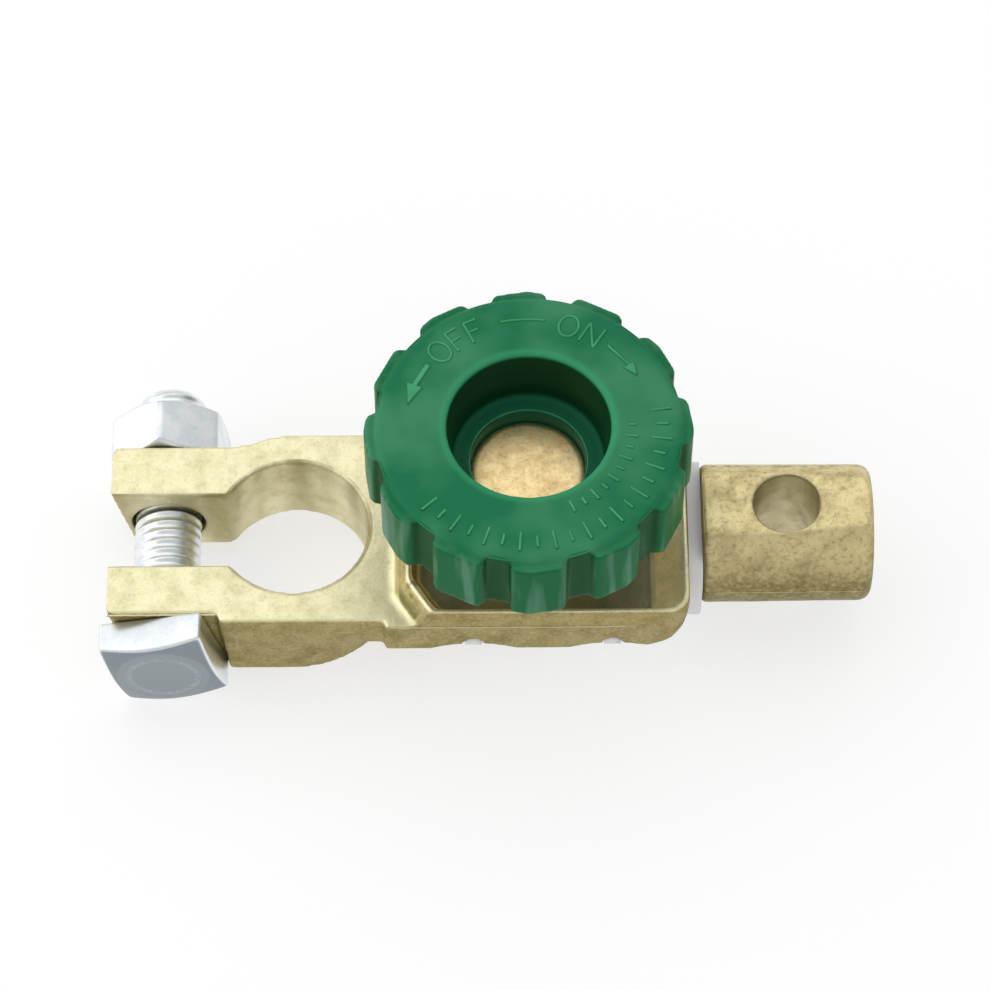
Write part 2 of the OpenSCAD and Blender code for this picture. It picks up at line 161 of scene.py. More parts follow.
def start_material(name: str) -> tuple[bpy.types.NodeTree, bpy.types.NodeSocket, bpy.types.NodeSocket]:
    """Make an empty material with its coordinates.

    Args:
        name: The material's name.

    Returns:
        The node tree, the object's coordinates and the surface's own normal.
    """
    material = bpy.data.materials.new(name)
    material.use_nodes = True
    tree = material.node_tree
    tree.nodes.clear()
    place = add_node(tree, "ShaderNodeTexCoord")
    return tree, place.outputs["Object"], place.outputs["Normal"]


def close_material(tree: bpy.types.NodeTree, name: str, inputs: dict[str | int, Any]) -> bpy.types.Material:
    """Finish a material with one Principled shader.

    Args:
        tree: The material's tree.
        name: The material's name.
        inputs: Values and links of the shader.

    Returns:
        The material.
    """
    shader = add_node(tree, "ShaderNodeBsdfPrincipled", inputs)
    add_node(tree, "ShaderNodeOutputMaterial", {"Surface": shader.outputs[0]})
    return bpy.data.materials[name]


def coats(tree: bpy.types.NodeTree, ground: Any, *layers: tuple[Any, Any]) -> bpy.types.NodeSocket:
    """Lay colours over each other.

    Args:
        tree: The material's tree.
        ground: The lowest colour.
        layers: How much of each further colour covers what is below it, and the colour.

    Returns:
        The colour that is seen.
    """
    for share, colour in layers:
        mix = add_node(tree, "ShaderNodeMix", {0: share, 6: ground, 7: colour}, data_type="RGBA")
        ground = mix.outputs[2]
    return ground


def axis_reach(tree: bpy.types.NodeTree, place: bpy.types.NodeSocket, centre_mm: Point,
               across: Point) -> bpy.types.NodeSocket:
    """Measure how far the surface lies from an axis.

    Args:
        tree: The material's tree.
        place: The object's coordinates.
        centre_mm: A point of the axis in millimetres.
        across: 1 for the directions across the axis and 0 for the one along it.

    Returns:
        The distance in metres.
    """
    centred = add_node(tree, "ShaderNodeVectorMath", {
        0: place, 1: tuple(c * MM for c in centre_mm)}, operation="SUBTRACT")
    flat = add_node(tree, "ShaderNodeVectorMath", {0: centred.outputs[0], 1: across}, operation="MULTIPLY")
    return add_node(tree, "ShaderNodeVectorMath", {0: flat.outputs[0]}, operation="LENGTH").outputs["Value"]


@dataclass(frozen=True)
class TrayShade:
    """Painted shade on the floor of a sunk tray, under the knob. Sizes are in millimetres.

    The painted shade thins out from the floor up to the clear height, and stops below the floor,
    so that the casting's underside stays clear of it.
    """

    middle_x: float
    half_x: float
    half_y: float
    floor_z: float
    clear_z: float
    share: float
    colour: str
    under: tuple[float, float] = (0.8, 0.5)
    soft: float = 0.1


@dataclass(frozen=True)
class CastAlloy:
    """Sand-cast and tumbled copper alloy.

    The faces that lie flat are painted pale and the drafted sides darker, which is painted light and shade,
    and the sides keep more of their blotched cast skin. Reamed bores and the sawn slot are paler again,
    partly their machined finish and partly painted reflection, with painted reflection streaks up their
    walls. The eye sees a satin sheen broken up by fine grit and olive specks, never a mirror, and a dark
    line painted along the convex edges as their reflection of dark surroundings. The pairs named span hold
    the level at which a coat begins and the one at which it is full.
    """

    name: str
    # The flat and side colours are one brass, lit and shaded: painted light and shade
    flat: str
    side: str
    stain: str
    speck: str
    gleam: str
    # Dark line painted along convex edges as their reflection of dark surroundings
    edge: str
    # Paler colour of the machined walls, partly their finish and partly painted reflection, with a band of
    # painted reflection streaks
    cut: str
    bore_reflection_band: str
    stain_share: tuple[float, float]
    speck_share: tuple[float, float]
    roughness: tuple[float, float]
    bores_mm: tuple[tuple[float, float], ...]
    slot_mm: tuple[float, float] | None = None
    slot_end_mm: tuple[float, float] = (0.5, -0.5)
    cut_soft_mm: float = 0.05
    tray_shade: TrayShade | None = None
    grit_mm: float = 0.42
    grit_depth_mm: float = 0.022
    stain_mm: float = 2.6
    stain_depth_mm: float = 0.05
    band_mm: float = 6.0
    band_stretch: Point = (1.0, 1.0, 0.15)
    cut_stain: float = 0.12
    cut_speck: float = 0.08
    edge_shade_share: float = 0.6
    lit_top_span: tuple[float, float] = (0.1, 0.85)
    stain_span: tuple[float, float] = (0.44, 0.64)
    speck_span: tuple[float, float] = (0.5, 0.68)
    gleam_span: tuple[float, float] = (0.48, 0.3)
    band_span: tuple[float, float] = (0.38, 0.66)
    edge_shade_span: tuple[float, float] = (0.54, 0.62)
    rough_span: tuple[float, float] = (0.4, 0.65)

    def cut_share(self, tree: bpy.types.NodeTree, place: bpy.types.NodeSocket) -> bpy.types.NodeSocket:
        """Tell the machined walls from the cast ones.

        Args:
            tree: The material's tree.
            place: The object's coordinates.

        Returns:
            1 on the walls of the bores and the slot.
        """
        soft = self.cut_soft_mm
        shares = []
        for x, r in self.bores_mm:
            reach = axis_reach(tree, place, (x, 0.0, 0.0), (1.0, 1.0, 0.0))
            shares.append(add_node(tree, "ShaderNodeMapRange", {
                0: reach, 1: (r + soft) * MM, 2: (r - soft) * MM}).outputs[0])
        if self.slot_mm:
            middle, half = self.slot_mm
            first, full = self.slot_end_mm
            parts = add_node(tree, "ShaderNodeSeparateXYZ", {0: place})
            left = add_node(tree, "ShaderNodeMapRange", {
                0: parts.outputs["X"], 1: first * MM, 2: full * MM})
            offset = add_node(tree, "ShaderNodeMath", {0: parts.outputs["Y"], 1: middle * MM},
                              operation="SUBTRACT")
            away = add_node(tree, "ShaderNodeMath", {0: offset.outputs[0]}, operation="ABSOLUTE")
            shares.append(add_node(tree, "ShaderNodeMapRange", {
                0: away.outputs[0], 1: (half + soft) * MM, 2: (half - soft) * MM,
                4: left.outputs[0]}).outputs[0])
        total = shares[0]
        for share in shares[1:]:
            total = add_node(tree, "ShaderNodeMath", {0: total, 1: share}, operation="MAXIMUM").outputs[0]
        return total

    def tray_shade_share(self, tree: bpy.types.NodeTree, place: bpy.types.NodeSocket,
                  tray_shade: TrayShade) -> bpy.types.NodeSocket:
        """Tell how much of the painted shade on the tray's floor covers each place.

        Args:
            tree: The material's tree.
            place: The object's coordinates.
            tray_shade: The sunk floor.

        Returns:
            The share at the tray's floor, falling to 0 where the walls are clear.
        """
        parts = add_node(tree, "ShaderNodeSeparateXYZ", {0: place})
        over = add_node(tree, "ShaderNodeMapRange", {
            0: parts.outputs["Z"], 1: (tray_shade.floor_z - tray_shade.under[0]) * MM,
            2: (tray_shade.floor_z - tray_shade.under[1]) * MM, 4: tray_shade.share})
        foot = add_node(tree, "ShaderNodeMapRange", {
            0: parts.outputs["Z"], 1: tray_shade.clear_z * MM, 2: tray_shade.floor_z * MM, 4: over.outputs[0]})
        share = foot.outputs[0]
        for axis, middle, half in (("X", tray_shade.middle_x, tray_shade.half_x), ("Y", 0.0, tray_shade.half_y)):
            offset = add_node(tree, "ShaderNodeMath", {
                0: parts.outputs[axis], 1: middle * MM}, operation="SUBTRACT")
            away = add_node(tree, "ShaderNodeMath", {0: offset.outputs[0]}, operation="ABSOLUTE")
            share = add_node(tree, "ShaderNodeMapRange", {
                0: away.outputs[0], 1: (half + tray_shade.soft) * MM, 2: (half - tray_shade.soft) * MM,
                4: share}).outputs[0]
        return share

    def build(self) -> bpy.types.Material:
        """Build the material.

        Returns:
            The material.
        """
        tree, place, normal = start_material(self.name)
        up = add_node(tree, "ShaderNodeSeparateXYZ", {0: normal}).outputs["Z"]
        # Painted light and shade: faces that lie flat take the pale flat colour, upright sides the darker
        # side colour
        lit_top_share = add_node(tree, "ShaderNodeMapRange", {
            0: up, 1: self.lit_top_span[0], 2: self.lit_top_span[1]},
            interpolation_type="SMOOTHSTEP").outputs[0]
        # Walls of the bores and the slot, whose pale colour is partly their machined finish and partly
        # painted reflection
        cut = self.cut_share(tree, place)
        # Painted reflection streaks that run up the walls of the bores and the slot
        column = add_node(tree, "ShaderNodeVectorMath", {0: place, 1: self.band_stretch},
                          operation="MULTIPLY")
        band = add_node(tree, "ShaderNodeTexNoise", {
            "Vector": column.outputs[0], "Scale": pattern_scale(self.band_mm), "Detail": 1.0})
        cloud = add_node(tree, "ShaderNodeTexNoise", {
            "Vector": place, "Scale": pattern_scale(self.stain_mm), "Detail": 5.0, "Roughness": 0.68})
        grit = add_node(tree, "ShaderNodeTexNoise", {
            "Vector": place, "Scale": pattern_scale(self.grit_mm), "Detail": 3.0, "Roughness": 0.7})
        # Pointiness paints the edge colour as a dark line along convex edges, a painted reflection of dark
        # surroundings
        edge = add_node(tree, "ShaderNodeNewGeometry").outputs["Pointiness"]
        most_stain, most_speck = (
            add_node(tree, "ShaderNodeMapRange", {0: cut, 4: low, 3: add_node(tree, "ShaderNodeMapRange", {
                0: lit_top_share, 3: shares[0], 4: shares[1]}).outputs[0]}).outputs[0]
            for shares, low in ((self.stain_share, self.cut_stain), (self.speck_share, self.cut_speck)))
        most_edge_shade = add_node(tree, "ShaderNodeMapRange", {0: cut, 3: self.edge_shade_share, 4: 0.0}).outputs[0]
        bore_reflection_streak, blotch, light, dark, worn = (
            add_node(tree, "ShaderNodeMapRange", {0: level, 1: span[0], 2: span[1], 4: most}).outputs[0]
            for level, span, most in (
                (band.outputs[0], self.band_span, cut), (cloud.outputs[0], self.stain_span, most_stain),
                (grit.outputs[0], self.gleam_span, most_speck),
                (grit.outputs[0], self.speck_span, most_speck), (edge, self.edge_shade_span, most_edge_shade)))
        layers = [
            (lit_top_share, linear(self.flat)),
            (cut, coats(tree, linear(self.cut), (bore_reflection_streak, linear(self.bore_reflection_band)))),
            (blotch, linear(self.stain)), (light, linear(self.gleam)), (dark, linear(self.speck))]
        # Painted shade on the tray's floor under the knob
        if self.tray_shade:
            layers.append((self.tray_shade_share(tree, place, self.tray_shade), linear(self.tray_shade.colour)))
        colour = coats(tree, linear(self.side), *layers, (worn, linear(self.edge)))
        rough = add_node(tree, "ShaderNodeMapRange", {
            0: cloud.outputs[0], 1: self.rough_span[0], 2: self.rough_span[1], 3: self.roughness[0],
            4: self.roughness[1]})
        skin = add_node(tree, "ShaderNodeBump", {
            "Height": cloud.outputs[0], "Distance": self.stain_depth_mm * MM, "Strength": 1.0})
        bump = add_node(tree, "ShaderNodeBump", {
            "Height": grit.outputs[0], "Distance": self.grit_depth_mm * MM, "Strength": 1.0,
            "Normal": skin.outputs[0]})
        return close_material(tree, self.name, {
            "Base Color": colour, "Metallic": 1.0, "Roughness": rough.outputs[0],
            "Normal": bump.outputs[0]})


@dataclass(frozen=True)
class MouldedNylon:
    """Injection-moulded nylon.

    The mould's faint flow marks and orange peel break up the highlight, and the flow marks also lay broad
    pale clouds of painted sheen over the colour. The upright walls get a colour of their own, on the green
    nylons a darker painted shade.
    """

    name: str
    face: str
    haze: str
    wall: str
    roughness: tuple[float, float]
    flow_mm: float
    flow_depth_mm: float
    specular: float = 0.5
    peel_mm: float = 0.9
    peel_depth_mm: float = 0.005
    haze_span: tuple[float, float] = (0.4, 0.62)
    wall_span: tuple[float, float] = (0.75, 0.25)

    def skin(self, tree: bpy.types.NodeTree, place: bpy.types.NodeSocket,
             normal: bpy.types.NodeSocket) -> tuple[bpy.types.NodeSocket, dict[str | int, Any]]:
        """Lay out the moulded surface.

        Args:
            tree: The material's tree.
            place: The object's coordinates.
            normal: The surface's own normal.

        Returns:
            The colour, and the shader's other inputs.
        """
        flow = add_node(tree, "ShaderNodeTexNoise", {
            "Vector": place, "Scale": pattern_scale(self.flow_mm), "Detail": 2.0, "Roughness": 0.5})
        peel = add_node(tree, "ShaderNodeTexNoise", {
            "Vector": place, "Scale": pattern_scale(self.peel_mm), "Detail": 2.0})
        # Painted sheen: pale clouds laid over the face colour
        haze = add_node(tree, "ShaderNodeMapRange", {
            0: flow.outputs[0], 1: self.haze_span[0], 2: self.haze_span[1]}).outputs[0]
        up = add_node(tree, "ShaderNodeSeparateXYZ", {0: normal}).outputs["Z"]
        # Upright walls take the wall colour, on the green nylons a darker painted shade
        upright = add_node(tree, "ShaderNodeMapRange", {
            0: up, 1: self.wall_span[0], 2: self.wall_span[1]}).outputs[0]
        colour = coats(tree, linear(self.face), (haze, linear(self.haze)), (upright, linear(self.wall)))
        rough = add_node(tree, "ShaderNodeMapRange", {0: haze, 3: self.roughness[0], 4: self.roughness[1]})
        wave = add_node(tree, "ShaderNodeBump", {
            "Height": flow.outputs[0], "Distance": self.flow_depth_mm * MM, "Strength": 1.0})
        bump = add_node(tree, "ShaderNodeBump", {
            "Height": peel.outputs[0], "Distance": self.peel_depth_mm * MM, "Strength": 1.0,
            "Normal": wave.outputs[0]})
        return colour, {
            "Roughness": rough.outputs[0], "Specular IOR Level": self.specular, "Normal": bump.outputs[0]}

    def build(self) -> bpy.types.Material:
        """Build the material.

        Returns:
            The material.
        """
        tree, place, normal = start_material(self.name)
        colour, rest = self.skin(tree, place, normal)
        return close_material(tree, self.name, {"Base Color": colour, **rest})


@dataclass(frozen=True)
class HandledNylon(MouldedNylon):
    """Moulded nylon of a knob, with light and shade painted into its colour.

    It has a painted highlight round the mouth of its well, painted shade inside the well and in the flutes,
    and painted reflection streaks on its walls. The pairs named below, above and round hold, in
    millimetres, the depth, height or distance at which a coat begins and the one at which it is full.
    """

    # Painted shade in the flutes
    flute_shade: str = "#0A4A1E"
    # Painted shade inside the well, lighter towards its floor
    well: str = "#104222"
    well_floor_shade: str = "#1E6A4A"
    # Painted highlight round the mouth of the well
    rim_highlight: str = "#3FA472"
    # Painted reflection streaks on the walls
    streak_reflection: str = "#7FB093"
    streak_mm: float = 1.5
    streak_stretch: Point = (1.0, 1.0, 0.1)
    streak_span: tuple[float, float] = (0.52, 0.68)
    streak_share: float = 0.45
    flute_shade_share: float = 0.85
    rim_highlight_share: float = 0.6
    centre_mm: Point = (27.3, 0.0, 0.0)
    top_mm: float = 22.4
    floor_mm: float = 14.6
    well_r_mm: float = 9.25
    flute_r_mm: float = 17.7
    well_below: tuple[float, float] = (0.35, 0.75)
    wall_below: tuple[float, float] = (0.7, 1.2)
    rim_below: tuple[float, float] = (0.8, 0.3)
    floor_above: tuple[float, float] = (0.9, 0.2)
    well_round: tuple[float, float] = (0.3, 0.05)
    rim_round: tuple[float, float] = (1.1, 0.495)
    flute_round: tuple[float, float] = (0.5, 0.0)

    def build(self) -> bpy.types.Material:
        """Build the material.

        Returns:
            The material.
        """
        tree, place, normal = start_material(self.name)
        colour, rest = self.skin(tree, place, normal)
        reach = axis_reach(tree, place, self.centre_mm, (1.0, 1.0, 0.0))
        height = add_node(tree, "ShaderNodeSeparateXYZ", {0: place}).outputs["Z"]
        in_well, on_wall, on_rim = (
            add_node(tree, "ShaderNodeMapRange", {
                0: height, 1: (self.top_mm - span[0]) * MM, 2: (self.top_mm - span[1]) * MM,
                4: most}).outputs[0]
            for span, most in (
                (self.well_below, 1.0), (self.wall_below, self.flute_shade_share),
                (self.rim_below, self.rim_highlight_share)))
        low = add_node(tree, "ShaderNodeMapRange", {
            0: height, 1: (self.floor_mm + self.floor_above[0]) * MM,
            2: (self.floor_mm + self.floor_above[1]) * MM}).outputs[0]
        # Painted shade inside the well, painted highlight round its mouth and painted shade in the flutes
        well_shade_share, rim_highlight_mask, valley_shade = (
            add_node(tree, "ShaderNodeMapRange", {
                0: reach, 1: (r + span[0]) * MM, 2: (r + span[1]) * MM, 4: most}).outputs[0]
            for r, span, most in (
                (self.well_r_mm, self.well_round, in_well), (self.well_r_mm, self.rim_round, on_rim),
                (self.flute_r_mm, self.flute_round, on_wall)))
        # Painted reflection streaks up the walls
        column = add_node(tree, "ShaderNodeVectorMath", {0: place, 1: self.streak_stretch},
                          operation="MULTIPLY")
        streak_noise = add_node(tree, "ShaderNodeTexNoise", {
            "Vector": column.outputs[0], "Scale": pattern_scale(self.streak_mm), "Detail": 1.0})
        most_streak = add_node(tree, "ShaderNodeMapRange", {
            0: on_wall, 3: 0.0, 4: self.streak_share}).outputs[0]
        sheen = add_node(tree, "ShaderNodeMapRange", {
            0: streak_noise.outputs[0], 1: self.streak_span[0], 2: self.streak_span[1], 4: most_streak}).outputs[0]
        # Painted shade of the well, lighter towards its floor
        well_shade_colour = coats(tree, linear(self.well), (low, linear(self.well_floor_shade)))
        seen = coats(tree, colour, (sheen, linear(self.streak_reflection)), (valley_shade, linear(self.flute_shade)),
                     (rim_highlight_mask, linear(self.rim_highlight)), (well_shade_share, well_shade_colour))
        return close_material(tree, self.name, {"Base Color": seen, **rest})


@dataclass(frozen=True)
class TurnedBrass:
    """Brass turned on a lathe and handled since.

    Fine tool rings about the axis spread the light across the face, and specks and finger marks cloud it.
    """

    name: str
    colour: str
    cloud: str
    speck: str
    roughness: tuple[float, float]
    centre_mm: Point
    ring_mm: float = 0.3
    ring_depth_mm: float = 0.003
    cloud_mm: float = 2.2
    grain_mm: float = 0.4
    grain_depth_mm: float = 0.012
    cloud_share: float = 0.8
    speck_share: float = 0.45
    cloud_span: tuple[float, float] = (0.42, 0.62)
    speck_span: tuple[float, float] = (0.52, 0.68)
    rough_span: tuple[float, float] = (0.4, 0.65)

    def build(self) -> bpy.types.Material:
        """Build the material.

        Returns:
            The material.
        """
        tree, place, _ = start_material(self.name)
        reach = axis_reach(tree, place, self.centre_mm, (1.0, 1.0, 0.0))
        rings = add_node(tree, "ShaderNodeTexNoise", {
            "W": reach, "Scale": pattern_scale(self.ring_mm), "Detail": 2.0}, noise_dimensions="1D")
        cloud = add_node(tree, "ShaderNodeTexNoise", {
            "Vector": place, "Scale": pattern_scale(self.cloud_mm), "Detail": 5.0, "Roughness": 0.7})
        grain = add_node(tree, "ShaderNodeTexNoise", {
            "Vector": place, "Scale": pattern_scale(self.grain_mm), "Detail": 3.0, "Roughness": 0.7})
        patch, fleck = (
            add_node(tree, "ShaderNodeMapRange", {0: level, 1: span[0], 2: span[1], 4: most}).outputs[0]
            for level, span, most in (
                (cloud.outputs[0], self.cloud_span, self.cloud_share),
                (grain.outputs[0], self.speck_span, self.speck_share)))
        colour = coats(tree, linear(self.colour), (patch, linear(self.cloud)), (fleck, linear(self.speck)))
        rough = add_node(tree, "ShaderNodeMapRange", {
            0: cloud.outputs[0], 1: self.rough_span[0], 2: self.rough_span[1], 3: self.roughness[0],
            4: self.roughness[1]})
        relief = add_node(tree, "ShaderNodeBump", {
            "Height": rings.outputs[0], "Distance": self.ring_depth_mm * MM, "Strength": 1.0})
        pits = add_node(tree, "ShaderNodeBump", {
            "Height": grain.outputs[0], "Distance": self.grain_depth_mm * MM, "Strength": 1.0,
            "Normal": relief.outputs[0]})
        return close_material(tree, self.name, {
            "Base Color": colour, "Metallic": 1.0, "Roughness": rough.outputs[0],
            "Normal": pits.outputs[0]})


@dataclass(frozen=True)
class ZincPlate:
    """Bright zinc plating over steel, its head formed hot in a die and its thread rolled.

    Flats and threads are cool and nearly white where they face the light. The end of the head that faces
    along the axis is painted a dull grey as shade, with the paler scuffed ring that the die left on it.
    """

    name: str
    bright: str
    cloud: str
    # Painted shade grey of the head's end face, also the colour of the dark flecks
    shade_and_fleck_grey: str
    ring: str
    bevel: str
    roughness: float
    forged_roughness: float
    axis_mm: Point
    ring_r_mm: float = 4.0
    ring_w_mm: float = 0.45
    ring_core: float = 0.4
    face_r_mm: float = 5.25
    face_soft_mm: float = 0.25
    fleck_share: float = 0.12
    grain_mm: float = 0.45
    grain_depth_mm: float = 0.004
    haze_grains: float = 6.0
    end_span: tuple[float, float] = (-0.8, -0.93)
    haze_span: tuple[float, float] = (0.42, 0.62)
    fleck_span: tuple[float, float] = (0.5, 0.66)
    scuff_span: tuple[float, float] = (0.42, 0.6)

    def build(self) -> bpy.types.Material:
        """Build the material.

        Returns:
            The material.
        """
        tree, place, normal = start_material(self.name)
        reach = axis_reach(tree, place, self.axis_mm, (1.0, 0.0, 1.0))
        along = add_node(tree, "ShaderNodeSeparateXYZ", {0: normal}).outputs["Y"]
        grain = add_node(tree, "ShaderNodeTexNoise", {
            "Vector": place, "Scale": pattern_scale(self.grain_mm), "Detail": 4.0, "Roughness": 0.65})
        broad = add_node(tree, "ShaderNodeTexNoise", {
            "Vector": place, "Scale": pattern_scale(self.haze_grains * self.grain_mm), "Detail": 3.0})
        offset = add_node(tree, "ShaderNodeMath", {0: reach, 1: self.ring_r_mm * MM}, operation="SUBTRACT")
        away = add_node(tree, "ShaderNodeMath", {0: offset.outputs[0]}, operation="ABSOLUTE")
        scuffed = add_node(tree, "ShaderNodeMapRange", {
            0: grain.outputs[0], 1: self.scuff_span[0], 2: self.scuff_span[1]}).outputs[0]
        ring_span = (self.ring_w_mm * MM, self.ring_core * self.ring_w_mm * MM)
        bevel_span = (self.face_r_mm * MM, (self.face_r_mm + self.face_soft_mm) * MM)
        # end picks the face that looks along the axis, which takes the darker greys as painted shade
        end, haze, fleck, struck, bevel = (
            add_node(tree, "ShaderNodeMapRange", {0: level, 1: span[0], 2: span[1], 4: most}).outputs[0]
            for level, span, most in (
                (along, self.end_span, 1.0), (broad.outputs[0], self.haze_span, 1.0),
                (grain.outputs[0], self.fleck_span, self.fleck_share),
                (away.outputs[0], ring_span, scuffed), (reach, bevel_span, 1.0)))
        face = coats(tree, linear(self.shade_and_fleck_grey), (struck, linear(self.ring)), (bevel, linear(self.bevel)))
        colour = coats(tree, linear(self.bright), (haze, linear(self.cloud)), (end, face),
                       (fleck, linear(self.shade_and_fleck_grey)))
        rough = add_node(tree, "ShaderNodeMapRange", {0: end, 3: self.roughness, 4: self.forged_roughness})
        bump = add_node(tree, "ShaderNodeBump", {
            "Height": grain.outputs[0], "Distance": self.grain_depth_mm * MM, "Strength": 1.0})
        return close_material(tree, self.name, {
            "Base Color": colour, "Metallic": 1.0, "Roughness": rough.outputs[0],
            "Normal": bump.outputs[0]})


class Finishes:
    """Every finish of the switch, each built once."""

    def __init__(self) -> None:
        """Build the materials."""
        # Yellow brass straight from the tumbler, blotched on the sides; its pale lemon flats and khaki
        # sides are painted light and shade, its pale bores partly painted reflection, and the tray's dark
        # floor painted shade
        self.brass = CastAlloy(
            "tumbled_cast_brass", flat="#FFF9CE", side="#A99C6A", stain="#8F7F49", speck="#8E7D45",
            gleam="#D8CC96", edge="#7A6B40", cut="#F2EBC6", bore_reflection_band="#B5AC80", stain_share=(0.6, 0.15),
            speck_share=(0.38, 0.2), roughness=(0.46, 0.62), bores_mm=((0.0, 9.25),), slot_mm=(-0.3, 4.95),
            tray_shade=TrayShade(middle_x=26.9, half_x=14.5, half_y=12.7, floor_z=1.0, clear_z=2.0, share=0.68,
                    colour="#6E6B44")).build()
        # The cable post is a leaded bronze with more of its brown cast skin left; its pale flats and darker
        # sides are painted light and shade, and its pale cross hole is partly painted reflection
        self.bronze = CastAlloy(
            "cast_leaded_bronze", flat="#EAD9A4", side="#93875A", stain="#80703F", speck="#5F5030",
            gleam="#DDCB95", edge="#806F48", cut="#D9CFA8", bore_reflection_band="#A99E76", stain_share=(0.36, 0.26),
            speck_share=(0.42, 0.38), roughness=(0.42, 0.58), bores_mm=((57.25, 4.05),),
            grit_mm=0.6).build()
        # Free-cutting brass of the stud, warmer than the castings and clouded by handling
        self.stud = TurnedBrass(
            "turned_free_cutting_brass", colour="#FBE3AC", cloud="#E6C88C", speck="#B4965E",
            roughness=(0.3, 0.42), centre_mm=(27.3, 0.0, 0.0)).build()
        # Cool, and nearly white where it faces the light; the head's end face is painted shade grey
        self.zinc = ZincPlate(
            "bright_zinc_plate", bright="#F6F9FB", cloud="#E9EFF3", shade_and_fleck_grey="#979FA2", ring="#ACB3B7",
            bevel="#8B949A", roughness=0.36, forged_roughness=0.42, axis_mm=(-15.1, 0.0, -6.7)).build()
        # Green moulded nylon with a painted broken sheen, a painted highlight round the well's mouth, and
        # painted shade in the flutes, on the upright walls and inside the well
        self.green = HandledNylon(
            "moulded_green_nylon", face="#227A50", haze="#428E66", wall="#116C40", roughness=(0.28, 0.4),
            flow_mm=9.0, flow_depth_mm=0.12, specular=0.05).build()
        # The same nylon, paler, as a painted highlight on the raised marks and the bore's edge bead
        self.highlit_green = MouldedNylon(
            "highlit_green_nylon", face="#2E9862", haze="#3FA673", wall="#0F6B3E", roughness=(0.3, 0.4),
            flow_mm=3.0, flow_depth_mm=0.01, specular=0.4).build()
        # White nylon of the insulator, a clean cold white that goes grey in the housing's shade
        self.white = MouldedNylon(
            "moulded_white_nylon", face="#F9F9FC", haze="#FCFCFE", wall="#FBFBFE", roughness=(0.42, 0.55),
            flow_mm=8.0, flow_depth_mm=0.03).build()


# Meshes


def new_piece(name: str, points: Sequence[Point], faces: Sequence[Sequence[int]],
              edges: Sequence[tuple[int, int]] = ()) -> bpy.types.Object:
    """Make an object from points in millimetres.

    Args:
        name: The object's name.
        points: The vertices in millimetres.
        faces: The faces, as indices of their corners.
        edges: Loose edges.

    Returns:
        The object, smooth shaded, with its mesh in metres.
    """
    mesh = bpy.data.meshes.new(name)
    mesh.from_pydata([tuple(c * MM for c in p) for p in points], list(edges), list(faces))
    mesh.update()
    mesh.shade_smooth()
    piece = bpy.data.objects.new(name, mesh)
    bpy.context.scene.collection.objects.link(piece)
    return piece


def flatten(piece: bpy.types.Object) -> bpy.types.Object:
    """Turn an object and its modifiers into a plain mesh.

    Args:
        piece: The object, which is used up.

    Returns:
        A new object of the same name with the finished mesh.
    """
    depsgraph = bpy.context.evaluated_depsgraph_get()
    mesh = bpy.data.meshes.new_from_object(piece.evaluated_get(depsgraph), depsgraph=depsgraph)
    name = piece.name
    bpy.data.objects.remove(piece)
    mesh.name = name
    plain = bpy.data.objects.new(name, mesh)
    bpy.context.scene.collection.objects.link(plain)
    return plain


def grow(piece: bpy.types.Object, tree: bpy.types.NodeTree, inputs: dict[str, Any]) -> bpy.types.Object:
    """Run a Geometry Nodes tree on an object and keep the result as a plain mesh.

    Args:
        piece: The object that carries the modifier.
        tree: The tree.
        inputs: Values of the tree's inputs, by their names.

    Returns:
        The finished object.
    """
    modifier = piece.modifiers.new(tree.name, "NODES")
    modifier.node_group = tree
    for item in tree.interface.items_tree:
        if item.item_type == "SOCKET" and item.in_out == "INPUT" and item.name in inputs:
            modifier[item.identifier] = inputs[item.name]
    return flatten(piece)


def dress(piece: bpy.types.Object, material: bpy.types.Material, body: Body, slot: Slot,
          *nodes: str) -> None:
    """Give a finished piece its material, its body and the CAD nodes that it stands for.

    Args:
        piece: The piece.
        material: Its finish.
        body: The body that it rides on.
        slot: The record's material slot; not used.
        nodes: The CAD nodes that it replaces.
    """
    piece.data.materials.clear()
    piece.data.materials.append(material)
    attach(piece, body.value)
    if nodes:
        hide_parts(*nodes)
    piece.data.calc_loop_triangles()
    log.info("%s: %d triangles on %s", piece.name, len(piece.data.loop_triangles), body.value)


def merged_copy(node: str, name: str, merge_mm: float = 0.0005) -> bpy.types.Object:
    """Copy a CAD node's mesh in millimetres, with its loose triangles joined.

    Args:
        node: The CAD node.
        name: The copy's name.
        merge_mm: Distance within which corners are joined.

    Returns:
        The copy, still in millimetres.
    """
    work = bmesh.new()
    work.from_mesh(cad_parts[node].data)
    bmesh.ops.scale(work, vec=Vector((1, 1, 1)) / MM, verts=work.verts)
    bmesh.ops.remove_doubles(work, verts=work.verts, dist=merge_mm)
    mesh = bpy.data.meshes.new(name)
    work.to_mesh(mesh)
    work.free()
    piece = bpy.data.objects.new(name, mesh)
    bpy.context.scene.collection.objects.link(piece)
    return piece


def to_metres(piece: bpy.types.Object) -> bpy.types.Object:
    """Scale a mesh in millimetres to metres.

    Args:
        piece: The mesh's object.

    Returns:
        The same object.
    """
    piece.data.transform(Matrix.Scale(MM, 4))
    piece.data.update()
    return piece


def lathe(name: str, profile: Sequence[tuple[float, float]], segments: int = 160) -> bpy.types.Object:
    """Turn a half section about the Z axis.

    Args:
        name: The object's name.
        profile: Radius and height of each corner, from the axis round to the axis.
        segments: Steps of one turn.

    Returns:
        The closed turned body.
    """
    rings = [[(r * math.cos(t), r * math.sin(t), z) for t in turn(segments)] for r, z in profile]
    return ring_body(name, rings, closed=False)


